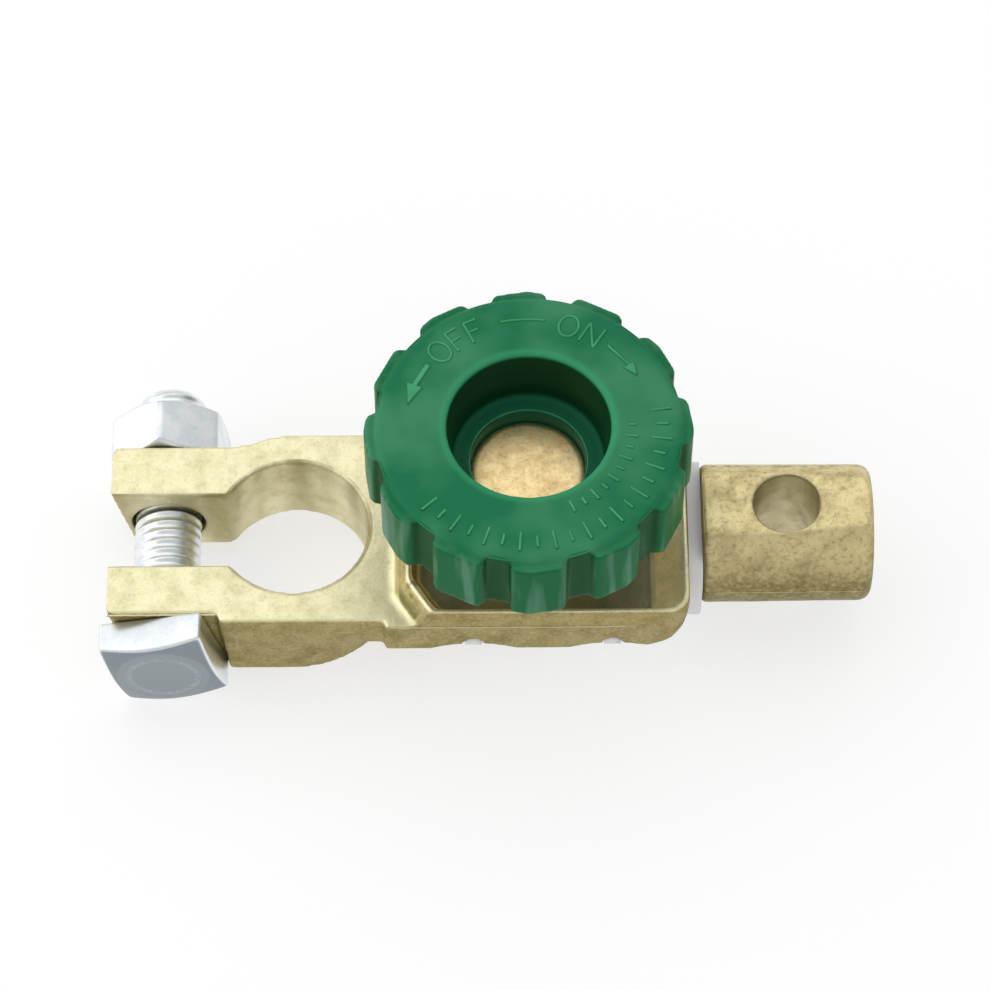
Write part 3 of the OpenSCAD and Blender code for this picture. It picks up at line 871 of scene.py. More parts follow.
def turn(steps: int) -> list[float]:
    """Angles of one turn in equal steps, in radians."""
    return [2 * math.pi * i / steps for i in range(steps)]


def ring_body(name: str, rings: Sequence[Ring], closed: bool) -> bpy.types.Object:
    """Join rings of points to a body.

    Args:
        name: The object's name.
        rings: Rings with the same number of points, from the first to the last.
        closed: Whether the last ring joins the first, as round a hole. Otherwise both ends are capped.

    Returns:
        The body, with faces that point outwards.
    """
    count = len(rings[0])
    points = [p for ring in rings for p in ring]
    faces = []
    for k in range(len(rings) if closed else len(rings) - 1):
        a, b = k * count, (k + 1) % len(rings) * count
        faces += [(a + i, a + (i + 1) % count, b + (i + 1) % count, b + i) for i in range(count)]
    if not closed:
        faces += [tuple(reversed(range(count))), tuple(range(len(points) - count, len(points)))]
    piece = new_piece(name, points, faces)
    work = bmesh.new()
    work.from_mesh(piece.data)
    bmesh.ops.remove_doubles(work, verts=work.verts, dist=1e-4 * MM)
    bmesh.ops.recalc_face_normals(work, faces=work.faces)
    work.to_mesh(piece.data)
    work.free()
    return piece


def shade_by_angle(piece: bpy.types.Object, degrees: float) -> bpy.types.Object:
    """Shade a mesh smooth except over sharp edges.

    Args:
        piece: The object.
        degrees: Angle above which an edge stays sharp.

    Returns:
        The same object.
    """
    piece.data.shade_smooth()
    piece.data.set_sharp_from_angle(angle=math.radians(degrees))
    return piece


# Geometry Nodes


def start_tree(name: str, inputs: dict[str, str]) -> tuple[bpy.types.NodeTree, bpy.types.Node]:
    """Make a Geometry Nodes tree with named inputs.

    Args:
        name: The tree's name.
        inputs: The kind of each input, such as Float, by its name.

    Returns:
        The tree and its input node.
    """
    tree = bpy.data.node_groups.new(name, "GeometryNodeTree")
    tree.is_modifier = True
    tree.interface.new_socket("Geometry", in_out="OUTPUT", socket_type="NodeSocketGeometry")
    tree.interface.new_socket("Geometry", in_out="INPUT", socket_type="NodeSocketGeometry")
    for label, kind in inputs.items():
        tree.interface.new_socket(label, in_out="INPUT", socket_type="NodeSocket" + kind)
    return tree, add_node(tree, "NodeGroupInput")


def close_tree(tree: bpy.types.NodeTree, result: bpy.types.NodeSocket,
               material: bpy.types.NodeSocket) -> bpy.types.NodeTree:
    """End a tree with smooth shading, real geometry and its material.

    Args:
        tree: The tree.
        result: The geometry to give out.
        material: The material input.

    Returns:
        The tree.
    """
    smooth = add_node(tree, "GeometryNodeSetShadeSmooth", {0: result})
    real = add_node(tree, "GeometryNodeRealizeInstances", {0: smooth.outputs[0]})
    painted = add_node(tree, "GeometryNodeSetMaterial", {"Geometry": real.outputs[0], "Material": material})
    add_node(tree, "NodeGroupOutput", {0: painted.outputs[0]})
    return tree


def cast_skin_tree() -> bpy.types.NodeTree:
    """Tree that gives a casting its faint waves.

    Returns:
        The tree, with the inputs Height, Wave and Seed.
    """
    tree, given = start_tree("cast_skin", {
        "Height": "Float", "Wave": "Float", "Seed": "Float", "Material": "Material"})
    place = add_node(tree, "GeometryNodeInputPosition")
    normal = add_node(tree, "GeometryNodeInputNormal")
    scale = add_node(tree, "ShaderNodeMath", {0: 1.0, 1: given.outputs["Wave"]}, operation="DIVIDE")
    wave = add_node(tree, "ShaderNodeTexNoise", {
        "Vector": place.outputs[0], "W": given.outputs["Seed"], "Scale": scale.outputs[0], "Detail": 2.0},
        noise_dimensions="4D")
    level = add_node(tree, "ShaderNodeMath", {0: wave.outputs[0], 1: 0.5}, operation="SUBTRACT")
    height = add_node(tree, "ShaderNodeMath", {
        0: level.outputs[0], 1: given.outputs["Height"]}, operation="MULTIPLY")
    shift = add_node(tree, "ShaderNodeVectorMath", {0: normal.outputs[0], "Scale": height.outputs[0]},
                     operation="SCALE")
    moved = add_node(tree, "GeometryNodeSetPosition", {
        "Geometry": given.outputs["Geometry"], "Offset": shift.outputs[0]})
    return close_tree(tree, moved.outputs[0], given.outputs["Material"])


def bead_tree() -> bpy.types.NodeTree:
    """Tree that lays a round bead along the edges of a mesh.

    Returns:
        The tree, with the inputs Radius, Step, Wander, Unevenness and Seed.
    """
    tree, given = start_tree("bead_on_path", {
        "Radius": "Float", "Step": "Float", "Wander": "Float", "Unevenness": "Float", "Seed": "Float",
        "Material": "Material"})
    path = add_node(tree, "GeometryNodeMeshToCurve", {0: given.outputs["Geometry"]})
    fine = add_node(tree, "GeometryNodeResampleCurve", {
        "Curve": path.outputs[0], "Length": given.outputs["Step"]}, mode="LENGTH")
    place = add_node(tree, "GeometryNodeInputPosition")
    rag = add_node(tree, "ShaderNodeTexNoise", {
        "Vector": place.outputs[0], "W": given.outputs["Seed"], "Scale": pattern_scale(RAG_MM),
        "Detail": 3.0}, noise_dimensions="4D")
    centred = add_node(tree, "ShaderNodeVectorMath", {0: rag.outputs[1], 1: (0.5, 0.5, 0.5)},
                       operation="SUBTRACT")
    shift = add_node(tree, "ShaderNodeVectorMath", {
        0: centred.outputs[0], "Scale": given.outputs["Wander"]}, operation="SCALE")
    moved = add_node(tree, "GeometryNodeSetPosition", {
        "Geometry": fine.outputs[0], "Offset": shift.outputs[0]})
    level = add_node(tree, "ShaderNodeMath", {0: rag.outputs[0], 1: 0.5}, operation="SUBTRACT")
    swell = add_node(tree, "ShaderNodeMath", {
        0: level.outputs[0], 1: given.outputs["Unevenness"], 2: 1.0}, operation="MULTIPLY_ADD")
    sized = add_node(tree, "GeometryNodeSetCurveRadius", {
        "Curve": moved.outputs[0], "Radius": swell.outputs[0]})
    section = add_node(tree, "GeometryNodeCurvePrimitiveCircle", {
        "Resolution": BEAD_SIDES, "Radius": given.outputs["Radius"]})
    bead = add_node(tree, "GeometryNodeCurveToMesh", {
        "Curve": sized.outputs[0], "Profile Curve": section.outputs[0], "Fill Caps": True})
    return close_tree(tree, bead.outputs[0], given.outputs["Material"])


def tick_tree() -> bpy.types.NodeTree:
    """Tree that sets raised ticks in a row along an arc about the Z axis.

    Returns:
        The tree, with the inputs Count, First, Last, Reach, Length and Radius.
    """
    tree, given = start_tree("ticks_on_arc", {
        "Count": "Int", "First": "Float", "Last": "Float", "Reach": "Float", "Length": "Float",
        "Radius": "Float", "Material": "Material"})
    row = add_node(tree, "GeometryNodeMeshLine", {"Count": given.outputs["Count"]})
    index = add_node(tree, "GeometryNodeInputIndex")
    steps = add_node(tree, "ShaderNodeMath", {0: given.outputs["Count"], 1: 1.0}, operation="SUBTRACT")
    along = add_node(tree, "ShaderNodeMath", {0: index.outputs[0], 1: steps.outputs[0]}, operation="DIVIDE")
    angle = add_node(tree, "ShaderNodeMapRange", {
        0: along.outputs[0], 3: given.outputs["First"], 4: given.outputs["Last"]})
    cosine = add_node(tree, "ShaderNodeMath", {0: angle.outputs[0]}, operation="COSINE")
    sine = add_node(tree, "ShaderNodeMath", {0: angle.outputs[0]}, operation="SINE")
    outward = add_node(tree, "ShaderNodeCombineXYZ", {0: cosine.outputs[0], 1: sine.outputs[0]})
    spot = add_node(tree, "ShaderNodeVectorMath", {
        0: outward.outputs[0], "Scale": given.outputs["Reach"]}, operation="SCALE")
    placed = add_node(tree, "GeometryNodeSetPosition", {
        "Geometry": row.outputs[0], "Position": spot.outputs[0]})
    half = add_node(tree, "ShaderNodeMath", {0: given.outputs["Length"], 1: 0.5}, operation="MULTIPLY")
    minus = add_node(tree, "ShaderNodeMath", {0: half.outputs[0], 1: -1.0}, operation="MULTIPLY")
    start = add_node(tree, "ShaderNodeCombineXYZ", {0: minus.outputs[0]})
    end = add_node(tree, "ShaderNodeCombineXYZ", {0: half.outputs[0]})
    line = add_node(tree, "GeometryNodeCurvePrimitiveLine", {
        "Start": start.outputs[0], "End": end.outputs[0]})
    section = add_node(tree, "GeometryNodeCurvePrimitiveCircle", {
        "Resolution": BEAD_SIDES, "Radius": given.outputs["Radius"]})
    tick = add_node(tree, "GeometryNodeCurveToMesh", {
        "Curve": line.outputs[0], "Profile Curve": section.outputs[0], "Fill Caps": True})
    odd = add_node(tree, "ShaderNodeMath", {0: index.outputs[0], 1: 2.0}, operation="MODULO")
    short = add_node(tree, "ShaderNodeMapRange", {0: odd.outputs[0], 3: 1.0, 4: SHORT_TICK})
    size = add_node(tree, "ShaderNodeCombineXYZ", {0: short.outputs[0], 1: 1.0, 2: 1.0})
    facing = add_node(tree, "ShaderNodeCombineXYZ", {2: angle.outputs[0]})
    row_of_ticks = add_node(tree, "GeometryNodeInstanceOnPoints", {
        "Points": placed.outputs[0], "Instance": tick.outputs[0], "Rotation": facing.outputs[0],
        "Scale": size.outputs[0]})
    return close_tree(tree, row_of_ticks.outputs[0], given.outputs["Material"])


def thread_tree() -> bpy.types.NodeTree:
    """Tree that cuts a right-handed screw thread along Z.

    Returns:
        The tree, with the inputs Length, Radius, Pitch, Depth, Lead and Rows.
    """
    tree, given = start_tree("screw_thread", {
        "Length": "Float", "Radius": "Float", "Pitch": "Float", "Depth": "Float", "Lead": "Float",
        "Rows": "Int", "Material": "Material"})
    rod = add_node(tree, "GeometryNodeMeshCylinder", {
        "Vertices": THREAD_SIDES, "Side Segments": given.outputs["Rows"], "Radius": given.outputs["Radius"],
        "Depth": given.outputs["Length"]}, fill_type="NGON")
    place = add_node(tree, "GeometryNodeInputPosition")
    parts = add_node(tree, "ShaderNodeSeparateXYZ", {0: place.outputs[0]})
    bearing = add_node(tree, "ShaderNodeMath", {0: parts.outputs[1], 1: parts.outputs[0]},
                       operation="ARCTAN2")
    share = add_node(tree, "ShaderNodeMath", {0: bearing.outputs[0], 1: 2 * math.pi}, operation="DIVIDE")
    turns = add_node(tree, "ShaderNodeMath", {0: parts.outputs[2], 1: given.outputs["Pitch"]},
                     operation="DIVIDE")
    phase = add_node(tree, "ShaderNodeMath", {0: turns.outputs[0], 1: share.outputs[0]},
                     operation="SUBTRACT")
    saw = add_node(tree, "ShaderNodeMath", {0: phase.outputs[0]}, operation="FRACT")
    off_crest = add_node(tree, "ShaderNodeMath", {0: saw.outputs[0], 1: 0.5}, operation="SUBTRACT")
    flank = add_node(tree, "ShaderNodeMath", {0: off_crest.outputs[0]}, operation="ABSOLUTE")
    groove = add_node(tree, "ShaderNodeMapRange", {
        0: flank.outputs[0], 1: THREAD_FLANK[0], 2: THREAD_FLANK[1]})
    cut = add_node(tree, "ShaderNodeMath", {0: groove.outputs[0], 1: given.outputs["Depth"]},
                   operation="MULTIPLY")
    crest = add_node(tree, "ShaderNodeMath", {0: given.outputs["Radius"], 1: cut.outputs[0]},
                     operation="SUBTRACT")
    half = add_node(tree, "ShaderNodeMath", {0: given.outputs["Length"], 1: 0.5}, operation="MULTIPLY")
    to_end = add_node(tree, "ShaderNodeMath", {0: half.outputs[0], 1: parts.outputs[2]},
                      operation="SUBTRACT")
    taper = add_node(tree, "ShaderNodeMath", {0: given.outputs["Lead"], 1: to_end.outputs[0]},
                     operation="SUBTRACT")
    taken = add_node(tree, "ShaderNodeMath", {0: taper.outputs[0], 1: 0.0}, operation="MAXIMUM")
    cone = add_node(tree, "ShaderNodeMath", {0: given.outputs["Radius"], 1: taken.outputs[0]},
                    operation="SUBTRACT")
    reach = add_node(tree, "ShaderNodeMath", {0: crest.outputs[0], 1: cone.outputs[0]}, operation="MINIMUM")
    ratio = add_node(tree, "ShaderNodeMath", {0: reach.outputs[0], 1: given.outputs["Radius"]},
                     operation="DIVIDE")
    factor = add_node(tree, "ShaderNodeCombineXYZ", {0: ratio.outputs[0], 1: ratio.outputs[0], 2: 1.0})
    spot = add_node(tree, "ShaderNodeVectorMath", {0: place.outputs[0], 1: factor.outputs[0]},
                    operation="MULTIPLY")
    threaded = add_node(tree, "GeometryNodeSetPosition", {
        "Geometry": rod.outputs[0], "Position": spot.outputs[0]})
    return close_tree(tree, threaded.outputs[0], given.outputs["Material"])


class Trees:
    """The Geometry Nodes trees that the sub-assemblies share."""

    def __init__(self) -> None:
        """Build the trees."""
        self.skin = cast_skin_tree()
        self.bead = bead_tree()
        self.ticks = tick_tree()
        self.thread = thread_tree()


# Sub-assemblies


@dataclass
class SoftSolid:
    """A cast or moulded form with the rounded edges of the real one."""

    node: str
    name: str
    grid_mm: float
    rounds: int
    wave_mm: float
    wave_height_mm: float
    seed: float
    reshape: Callable[[bpy.types.Object], None] | None = None
    softness: float = 0.5

    def build(self, trees: Trees, material: bpy.types.Material) -> bpy.types.Object:
        """Round the edges of a CAD node's copy.

        Args:
            trees: The shared trees.
            material: The finish.

        Returns:
            The rounded form.
        """
        piece = merged_copy(self.node, self.name)
        if self.reshape:
            self.reshape(piece)
        grid = piece.modifiers.new("grid", "REMESH")
        grid.mode = "VOXEL"
        grid.voxel_size = self.grid_mm
        wear = piece.modifiers.new("wear", "SMOOTH")
        wear.factor = self.softness
        wear.iterations = self.rounds
        piece = to_metres(flatten(piece))
        return grow(piece, trees.skin, {
            "Height": self.wave_height_mm * MM, "Wave": self.wave_mm * MM, "Seed": self.seed,
            "Material": material})


@dataclass
class Castings:
    """The clamp casting and the terminal casting, with the traces of their moulds."""

    ear_tip_x: float = -21.3
    shoulder_x: float = -8.7
    ear_face_y: float = -11.5
    flash_z: float = -0.3
    flash_r: float = 0.13
    housing_x: tuple[float, float] = (11.2, 38.6)
    housing_y: float = 13.55
    parting_r: float = 0.1
    post_x: tuple[float, float] = (48.1, 65.8)
    post_y: float = 8.0
    post_z: float = -2.2
    post_draft: float = 0.06
    seam_step: float = 0.2
    seam_wander: float = 0.16
    seam_unevenness: float = 2.2
    flash_seed: float = 1.7
    housing_seed: float = 4.0
    post_seed: float = 9.0
    clamp: SoftSolid = field(default_factory=lambda: SoftSolid(
        "clamp_casting", "clamp_body", grid_mm=0.32, rounds=7, wave_mm=2.6, wave_height_mm=0.06, seed=3.1))
    terminal: SoftSolid = field(default_factory=lambda: SoftSolid(
        "terminal_casting", "cable_terminal", grid_mm=0.24, rounds=8, wave_mm=2.2, wave_height_mm=0.08,
        seed=7.4))

    def seam(self, name: str, line: tuple[Point, Point], radius: float, seed: float, trees: Trees,
             material: bpy.types.Material, slot: Slot) -> None:
        """Lay an uneven mould seam along a line and dress it.

        Args:
            name: The piece's name.
            line: The line's two ends.
            radius: Radius of the seam.
            seed: Seed of its unevenness.
            trees: The shared trees.
            material: The finish.
            slot: The record's material slot.
        """
        piece = grow(new_piece(name, line, [], [(0, 1)]), trees.bead, {
            "Radius": radius * MM, "Step": self.seam_step * MM, "Wander": self.seam_wander * MM,
            "Unevenness": self.seam_unevenness, "Seed": seed, "Material": material})
        dress(piece, material, Body.CLAMP, slot)

    def build(self, trees: Trees, finishes: Finishes) -> None:
        """Build and dress both castings.

        Args:
            trees: The shared trees.
            finishes: The finishes.
        """
        brass, bronze = (finishes.brass, Slot.CAST_BRASS), (finishes.bronze, Slot.CAST_BRONZE)
        for solid, (material, slot) in ((self.clamp, brass), (self.terminal, bronze)):
            dress(solid.build(trees, material), material, Body.CLAMP, slot, solid.node)
        flash = ((self.ear_tip_x, self.ear_face_y, self.flash_z),
                 (self.shoulder_x, self.ear_face_y, self.flash_z))
        self.seam("ear_flash", flash, self.flash_r, self.flash_seed, trees, *brass)
        for side, label in ((-1, "front"), (1, "rear")):
            wall = ((self.housing_x[0], side * self.housing_y, 0.0),
                    (self.housing_x[1], side * self.housing_y, 0.0))
            self.seam(f"housing_seam_{label}", wall, self.parting_r, self.housing_seed + side, trees,
                      *brass)
            post = ((self.post_x[0], side * self.post_y, self.post_z),
                    (self.post_x[1], side * (self.post_y - self.post_draft), self.post_z))
            self.seam(f"post_seam_{label}", post, self.parting_r, self.post_seed + side, trees, *bronze)


@dataclass
class Insulator:
    """The two white mouldings that keep the terminal from the clamp."""

    sharp_degrees: float = 28.0
    parts: dict[str, str] = field(default_factory=lambda: {
        "insulator_tray": "insulator_shell", "insulator_cover": "insulator_lid"})

    def build(self, finishes: Finishes) -> None:
        """Build and dress both mouldings.

        Args:
            finishes: The finishes.
        """
        for node, name in self.parts.items():
            piece = shade_by_angle(to_metres(merged_copy(node, name)), self.sharp_degrees)
            dress(piece, finishes.white, Body.CLAMP, Slot.WHITE_NYLON, node)


@dataclass
class ContactStud:
    """The turned stud whose head shows in the knob's well."""

    centre_x: float = 27.3
    shank_r: float = 4.95
    shank_end: float = -7.85
    shank_chamfer: float = 0.9
    flange_r: float = 10.0
    flange_z: tuple[float, float] = (1.05, 4.05)
    flange_edge: float = 0.3
    hub_r: float = 8.0
    hub_top: float = 11.75
    hub_fillet: float = 0.4
    hub_edge: float = 0.2
    head_r: float = 6.5
    head_top: float = 12.6
    head_wear: tuple[tuple[float, float], ...] = (
        (0.0, 0.3), (0.08, 0.1), (0.3, 0.02), (0.8, 0.0), (3.5, 0.02))
    head_dish: float = 0.03
    sharp_degrees: float = 35.0

    def build(self, finishes: Finishes) -> None:
        """Build and dress the stud.

        Args:
            finishes: The finishes.
        """
        low, high = self.flange_z
        e = self.flange_edge
        profile = [
            (AXIS_R, self.shank_end), (self.shank_r - self.shank_chamfer, self.shank_end),
            (self.shank_r, self.shank_end + self.shank_chamfer),
            (self.shank_r, low), (self.flange_r - e, low), (self.flange_r, low + e),
            (self.flange_r, high - e), (self.flange_r - e, high), (self.hub_r + self.hub_fillet, high),
            (self.hub_r, high + self.hub_fillet), (self.hub_r, self.hub_top - self.hub_edge),
            (self.hub_r - self.hub_edge, self.hub_top), (self.head_r, self.hub_top)]
        profile += [(self.head_r - inward, self.head_top - down) for inward, down in self.head_wear]
        profile.append((AXIS_R, self.head_top - self.head_dish))
        piece = lathe("contact_stud_body", profile)
        piece.data.transform(Matrix.Translation((self.centre_x * MM, 0, 0)))
        shade_by_angle(piece, self.sharp_degrees)
        dress(piece, finishes.stud, Body.CONTACT, Slot.TURNED_BRASS, "contact_stud")


@dataclass(frozen=True)
class Arrow:
    """A raised arrow. The bearings of its tail, its head's foot and its tip, and half its widths."""

    name: str
    bearings: tuple[float, float, float]
    shaft: float
    head: float


@dataclass(frozen=True)
class TickArc:
    """A row of raised graduation ticks about the knob's axis, between two bearings in degrees."""

    name: str
    count: int
    first: float
    last: float
    reach: float
    length: float


@dataclass
class Knob:
    """The fluted green knob with its raised marks.

    The values of a bead are how far it lies outwards and up from its edge, and its radius. An F's are the
    places across of its stem and of the ends of its short and its long arm.
    """

    centre_x: float = 27.3
    top_z: float = 22.05
    rim_r: float = 17.2
    lip_z: float = 22.4
    lip_r: float = 0.45
    mouth_r: float = 9.25
    floor_z: float = 14.6
    bore_r: float = 6.55
    cad_lip_r: float = 0.8
    cad_floor_z: float = 15.55
    reach_slack: float = 0.05
    height_slack: float = 0.01
    stroke_r: float = 0.17
    stroke_sink: float = 0.03
    stroke_step: float = 0.25
    mark_reach: float = 14.0
    letter_h: float = 2.9
    letters: tuple[tuple[str, float], ...] = (
        ("O", 135.3), ("F", 125.0), ("F", 115.6), ("O", 70.4), ("N", 58.6))
    o_half: float = 1.12
    o_steps: int = 28
    f_x: tuple[float, float, float] = (-0.7, 0.5, 0.8)
    f_bar: float = 0.1
    n_half: float = 0.95
    dash_reach: float = 14.15
    dash: tuple[float, ...] = (102.5, 97.5, 92.0, 87.0, 81.8)
    arrow_reach: float = 13.9
    arrow_h: float = 0.2
    arrow_foot: float = 0.3
    arrow_slope: float = 0.1
    head_slope: float = 1.6
    tip_slope: float = 2.0
    arrow_sharp_degrees: float = 20.0
    arrows: tuple[Arrow, ...] = (
        Arrow("arrow_on", (49.5, 35.0, 27.6), shaft=0.16, head=0.75),
        Arrow("arrow_off", (144.3, 157.0, 168.4), shaft=0.33, head=0.98))
    arcs: tuple[TickArc, ...] = (
        TickArc("ticks_outer", count=21, first=222.0, last=368.0, reach=15.0, length=2.3),
        TickArc("ticks_inner", count=10, first=294.0, last=360.0, reach=11.6, length=1.5))
    rim_bead: Point = (0.02, -0.46, 0.13)
    bore_bead: Point = (0.2, -0.04, 0.1)
    bead_step: float = 0.5
    grid_mm: float = 0.28
    rounds: int = 3
    wave_mm: float = 6.0
    wave_height_mm: float = 0.05
    seed: float = 5.2

    def on_top(self, angle: float, reach: float, x: float = 0.0, y: float = 0.0) -> Point:
        """Place a point on the top face.

        Args:
            angle: Bearing about the knob's axis, in degrees.
            reach: Distance from the axis.
            x: Shift in the reading direction, clockwise.
            y: Shift outwards.

        Returns:
            The point.
        """
        c, s = math.cos(math.radians(angle)), math.sin(math.radians(angle))
        px, py = (reach + y) * c + x * s, (reach + y) * s - x * c
        return (self.centre_x + px, py, self.height(math.hypot(px, py)))

    def height(self, reach: float) -> float:
        """Height of the top face, which rises slightly towards the well."""
        share = (self.rim_r - reach) / (self.rim_r - self.mouth_r - self.lip_r)
        return self.top_z + (self.lip_z - self.top_z) * min(1.0, max(0.0, share))

    def reshape(self, piece: bpy.types.Object) -> None:
        """Raise the lip of the well and sink its floor.

        Args:
            piece: The knob's copy, in millimetres.
        """
        tight = self.lip_r / self.cad_lip_r
        lip_foot = self.top_z - self.cad_lip_r - self.height_slack
        lip_reach = self.mouth_r + self.cad_lip_r + self.reach_slack
        for vertex in piece.data.vertices:
            x, y, z = vertex.co
            reach = math.hypot(x - self.centre_x, y)
            if z > lip_foot and reach < lip_reach:
                grow_by = (self.mouth_r + (reach - self.mouth_r) * tight) / reach
                vertex.co = (self.centre_x + (x - self.centre_x) * grow_by, y * grow_by,
                             self.lip_z - (self.top_z - z) * tight)
            elif abs(z - self.cad_floor_z) < self.reach_slack and reach < self.mouth_r:
                vertex.co.z = self.floor_z

    def letter(self, sign: str) -> list[list[tuple[float, float]]]:
        """Give the strokes of a letter about its middle, each as its corners.

        Args:
            sign: The letter O, F or N.

        Returns:
            The strokes. A stroke that ends where it starts is a loop.
        """
        h, n = self.letter_h / 2, self.n_half
        if sign == "O":
            return [[(self.o_half * math.sin(t), h * math.cos(t)) for t in turn(self.o_steps)] + [(0.0, h)]]
        if sign == "F":
            left, short, right = self.f_x
            return [[(left, -h), (left, h), (right, h)], [(left, self.f_bar), (short, self.f_bar)]]
        return [[(-n, -h), (-n, h), (n, -h), (n, h)]]

    def strokes(self) -> list[list[Point]]:
        """Lay out the raised strokes on the top face, apart from the arrows.

        Returns:
            The corners of each stroke.
        """
        lines = [[self.on_top(angle, self.mark_reach, x, y) for x, y in stroke]
                 for sign, angle in self.letters for stroke in self.letter(sign)]
        return lines + [[self.on_top(a, self.dash_reach) for a in self.dash]]

    def arrow(self, arrow: Arrow) -> bpy.types.Object:
        """Make a raised arrow with sloping flanks.

        Args:
            arrow: Its name, bearings and half widths.

        Returns:
            The arrow.
        """
        tail, foot, tip = arrow.bearings
        rings = []
        for slim, z in ((0.0, -self.stroke_sink), (0.0, self.arrow_foot * self.arrow_h),
                        (self.arrow_slope, self.arrow_h)):
            w, h = arrow.shaft - slim, arrow.head - self.head_slope * slim
            step = math.degrees(slim / self.arrow_reach) * (1 if tip > tail else -1)
            outline = [
                (tail + step, -w), (foot + step, -w), (foot + step, -h), (tip - self.tip_slope * step, 0.0),
                (foot + step, h), (foot + step, w), (tail + step, w)]
            rings.append([
                (x, y, top + z) for x, y, top in (
                    self.on_top(bearing, self.arrow_reach, 0, across) for bearing, across in outline)])
        return shade_by_angle(ring_body(arrow.name, rings, closed=False), self.arrow_sharp_degrees)

    def bead(self, name: str, points: list[Point], edges: list[tuple[int, int]], radius: float, step: float,
             trees: Trees, material: bpy.types.Material) -> None:
        """Lay an even bead along a path and dress it.

        Args:
            name: The piece's name.
            points: The path's corners.
            edges: The path's edges.
            radius: Radius of the bead.
            step: Length of its rows.
            trees: The shared trees.
            material: The finish.
        """
        piece = grow(new_piece(name, points, [], edges), trees.bead, {
            "Radius": radius * MM, "Step": step * MM, "Wander": 0.0, "Unevenness": 0.0, "Seed": 0.0,
            "Material": material})
        dress(piece, material, Body.KNOB, Slot.GREEN_PLASTIC)

    def build(self, trees: Trees, finishes: Finishes) -> None:
        """Build and dress the knob and its marks.

        Args:
            trees: The shared trees.
            finishes: The finishes.
        """
        solid = SoftSolid("knob", "knob_body", self.grid_mm, self.rounds, self.wave_mm, self.wave_height_mm,
                          self.seed, self.reshape)
        dress(solid.build(trees, finishes.green), finishes.green, Body.KNOB, Slot.GREEN_PLASTIC, "knob")
        points: list[Point] = []
        edges: list[tuple[int, int]] = []
        for line in self.strokes():
            base = len(points)
            points += [(x, y, z - self.stroke_sink) for x, y, z in line]
            edges += [(base + i, base + i + 1) for i in range(len(line) - 1)]
        # The raised marks take the paler nylon, a painted highlight
        highlit = finishes.highlit_green
        self.bead("knob_marks", points, edges, self.stroke_r, self.stroke_step, trees, highlit)
        for arrow in self.arrows:
            dress(self.arrow(arrow), highlit, Body.KNOB, Slot.GREEN_PLASTIC)
        for arc in self.arcs:
            ticks = grow(new_piece(arc.name, [(0, 0, 0)], []), trees.ticks, {
                "Count": arc.count, "First": math.radians(arc.first), "Last": math.radians(arc.last),
                "Reach": arc.reach * MM, "Length": arc.length * MM, "Radius": self.stroke_r * MM,
                "Material": highlit})
            ticks.data.transform(Matrix.Translation((
                self.centre_x * MM, 0, (self.height(arc.reach) - self.stroke_sink) * MM)))
            dress(ticks, highlit, Body.KNOB, Slot.GREEN_PLASTIC)
        # The rim bead takes the green nylon, the bore's edge bead the paler nylon as a painted highlight
        for name, edge_r, edge_z, (out, up, thick), finish in (
                ("knob_rim_bead", self.rim_r, self.top_z, self.rim_bead, finishes.green),
                ("knob_bore_edge", self.bore_r, self.floor_z, self.bore_bead, highlit)):
            r, z = edge_r + out, edge_z + up
            ring = [(self.centre_x + r * math.cos(t), r * math.sin(t), z) for t in turn(RING_STEPS)]
            closed = [(i, (i + 1) % len(ring)) for i in range(len(ring))]
            self.bead(name, ring, closed, thick, self.bead_step, trees, finish)


def flat_reach(angle: float, sides: int, across: float) -> float:
    """Distance from the axis to the outline of a polygon with worn corners.

    Args:
        angle: Bearing in radians, 0 at the middle of a flat.
        sides: Number of flats.
        across: Width across the flats.

    Returns:
        The distance.
    """
    total = sum(max(0.0, math.cos(angle - 2 * math.pi * k / sides)) ** CORNER_KEEN for k in range(sides))
    return across / 2 / total ** (1 / CORNER_KEEN)


def bevel_depth(r: float, face_r: float, degrees: float) -> float:
    """Depth of a conical bevel at a radius, 0 within the flat face."""
    return max(0.0, r - face_r) * math.tan(math.radians(degrees))


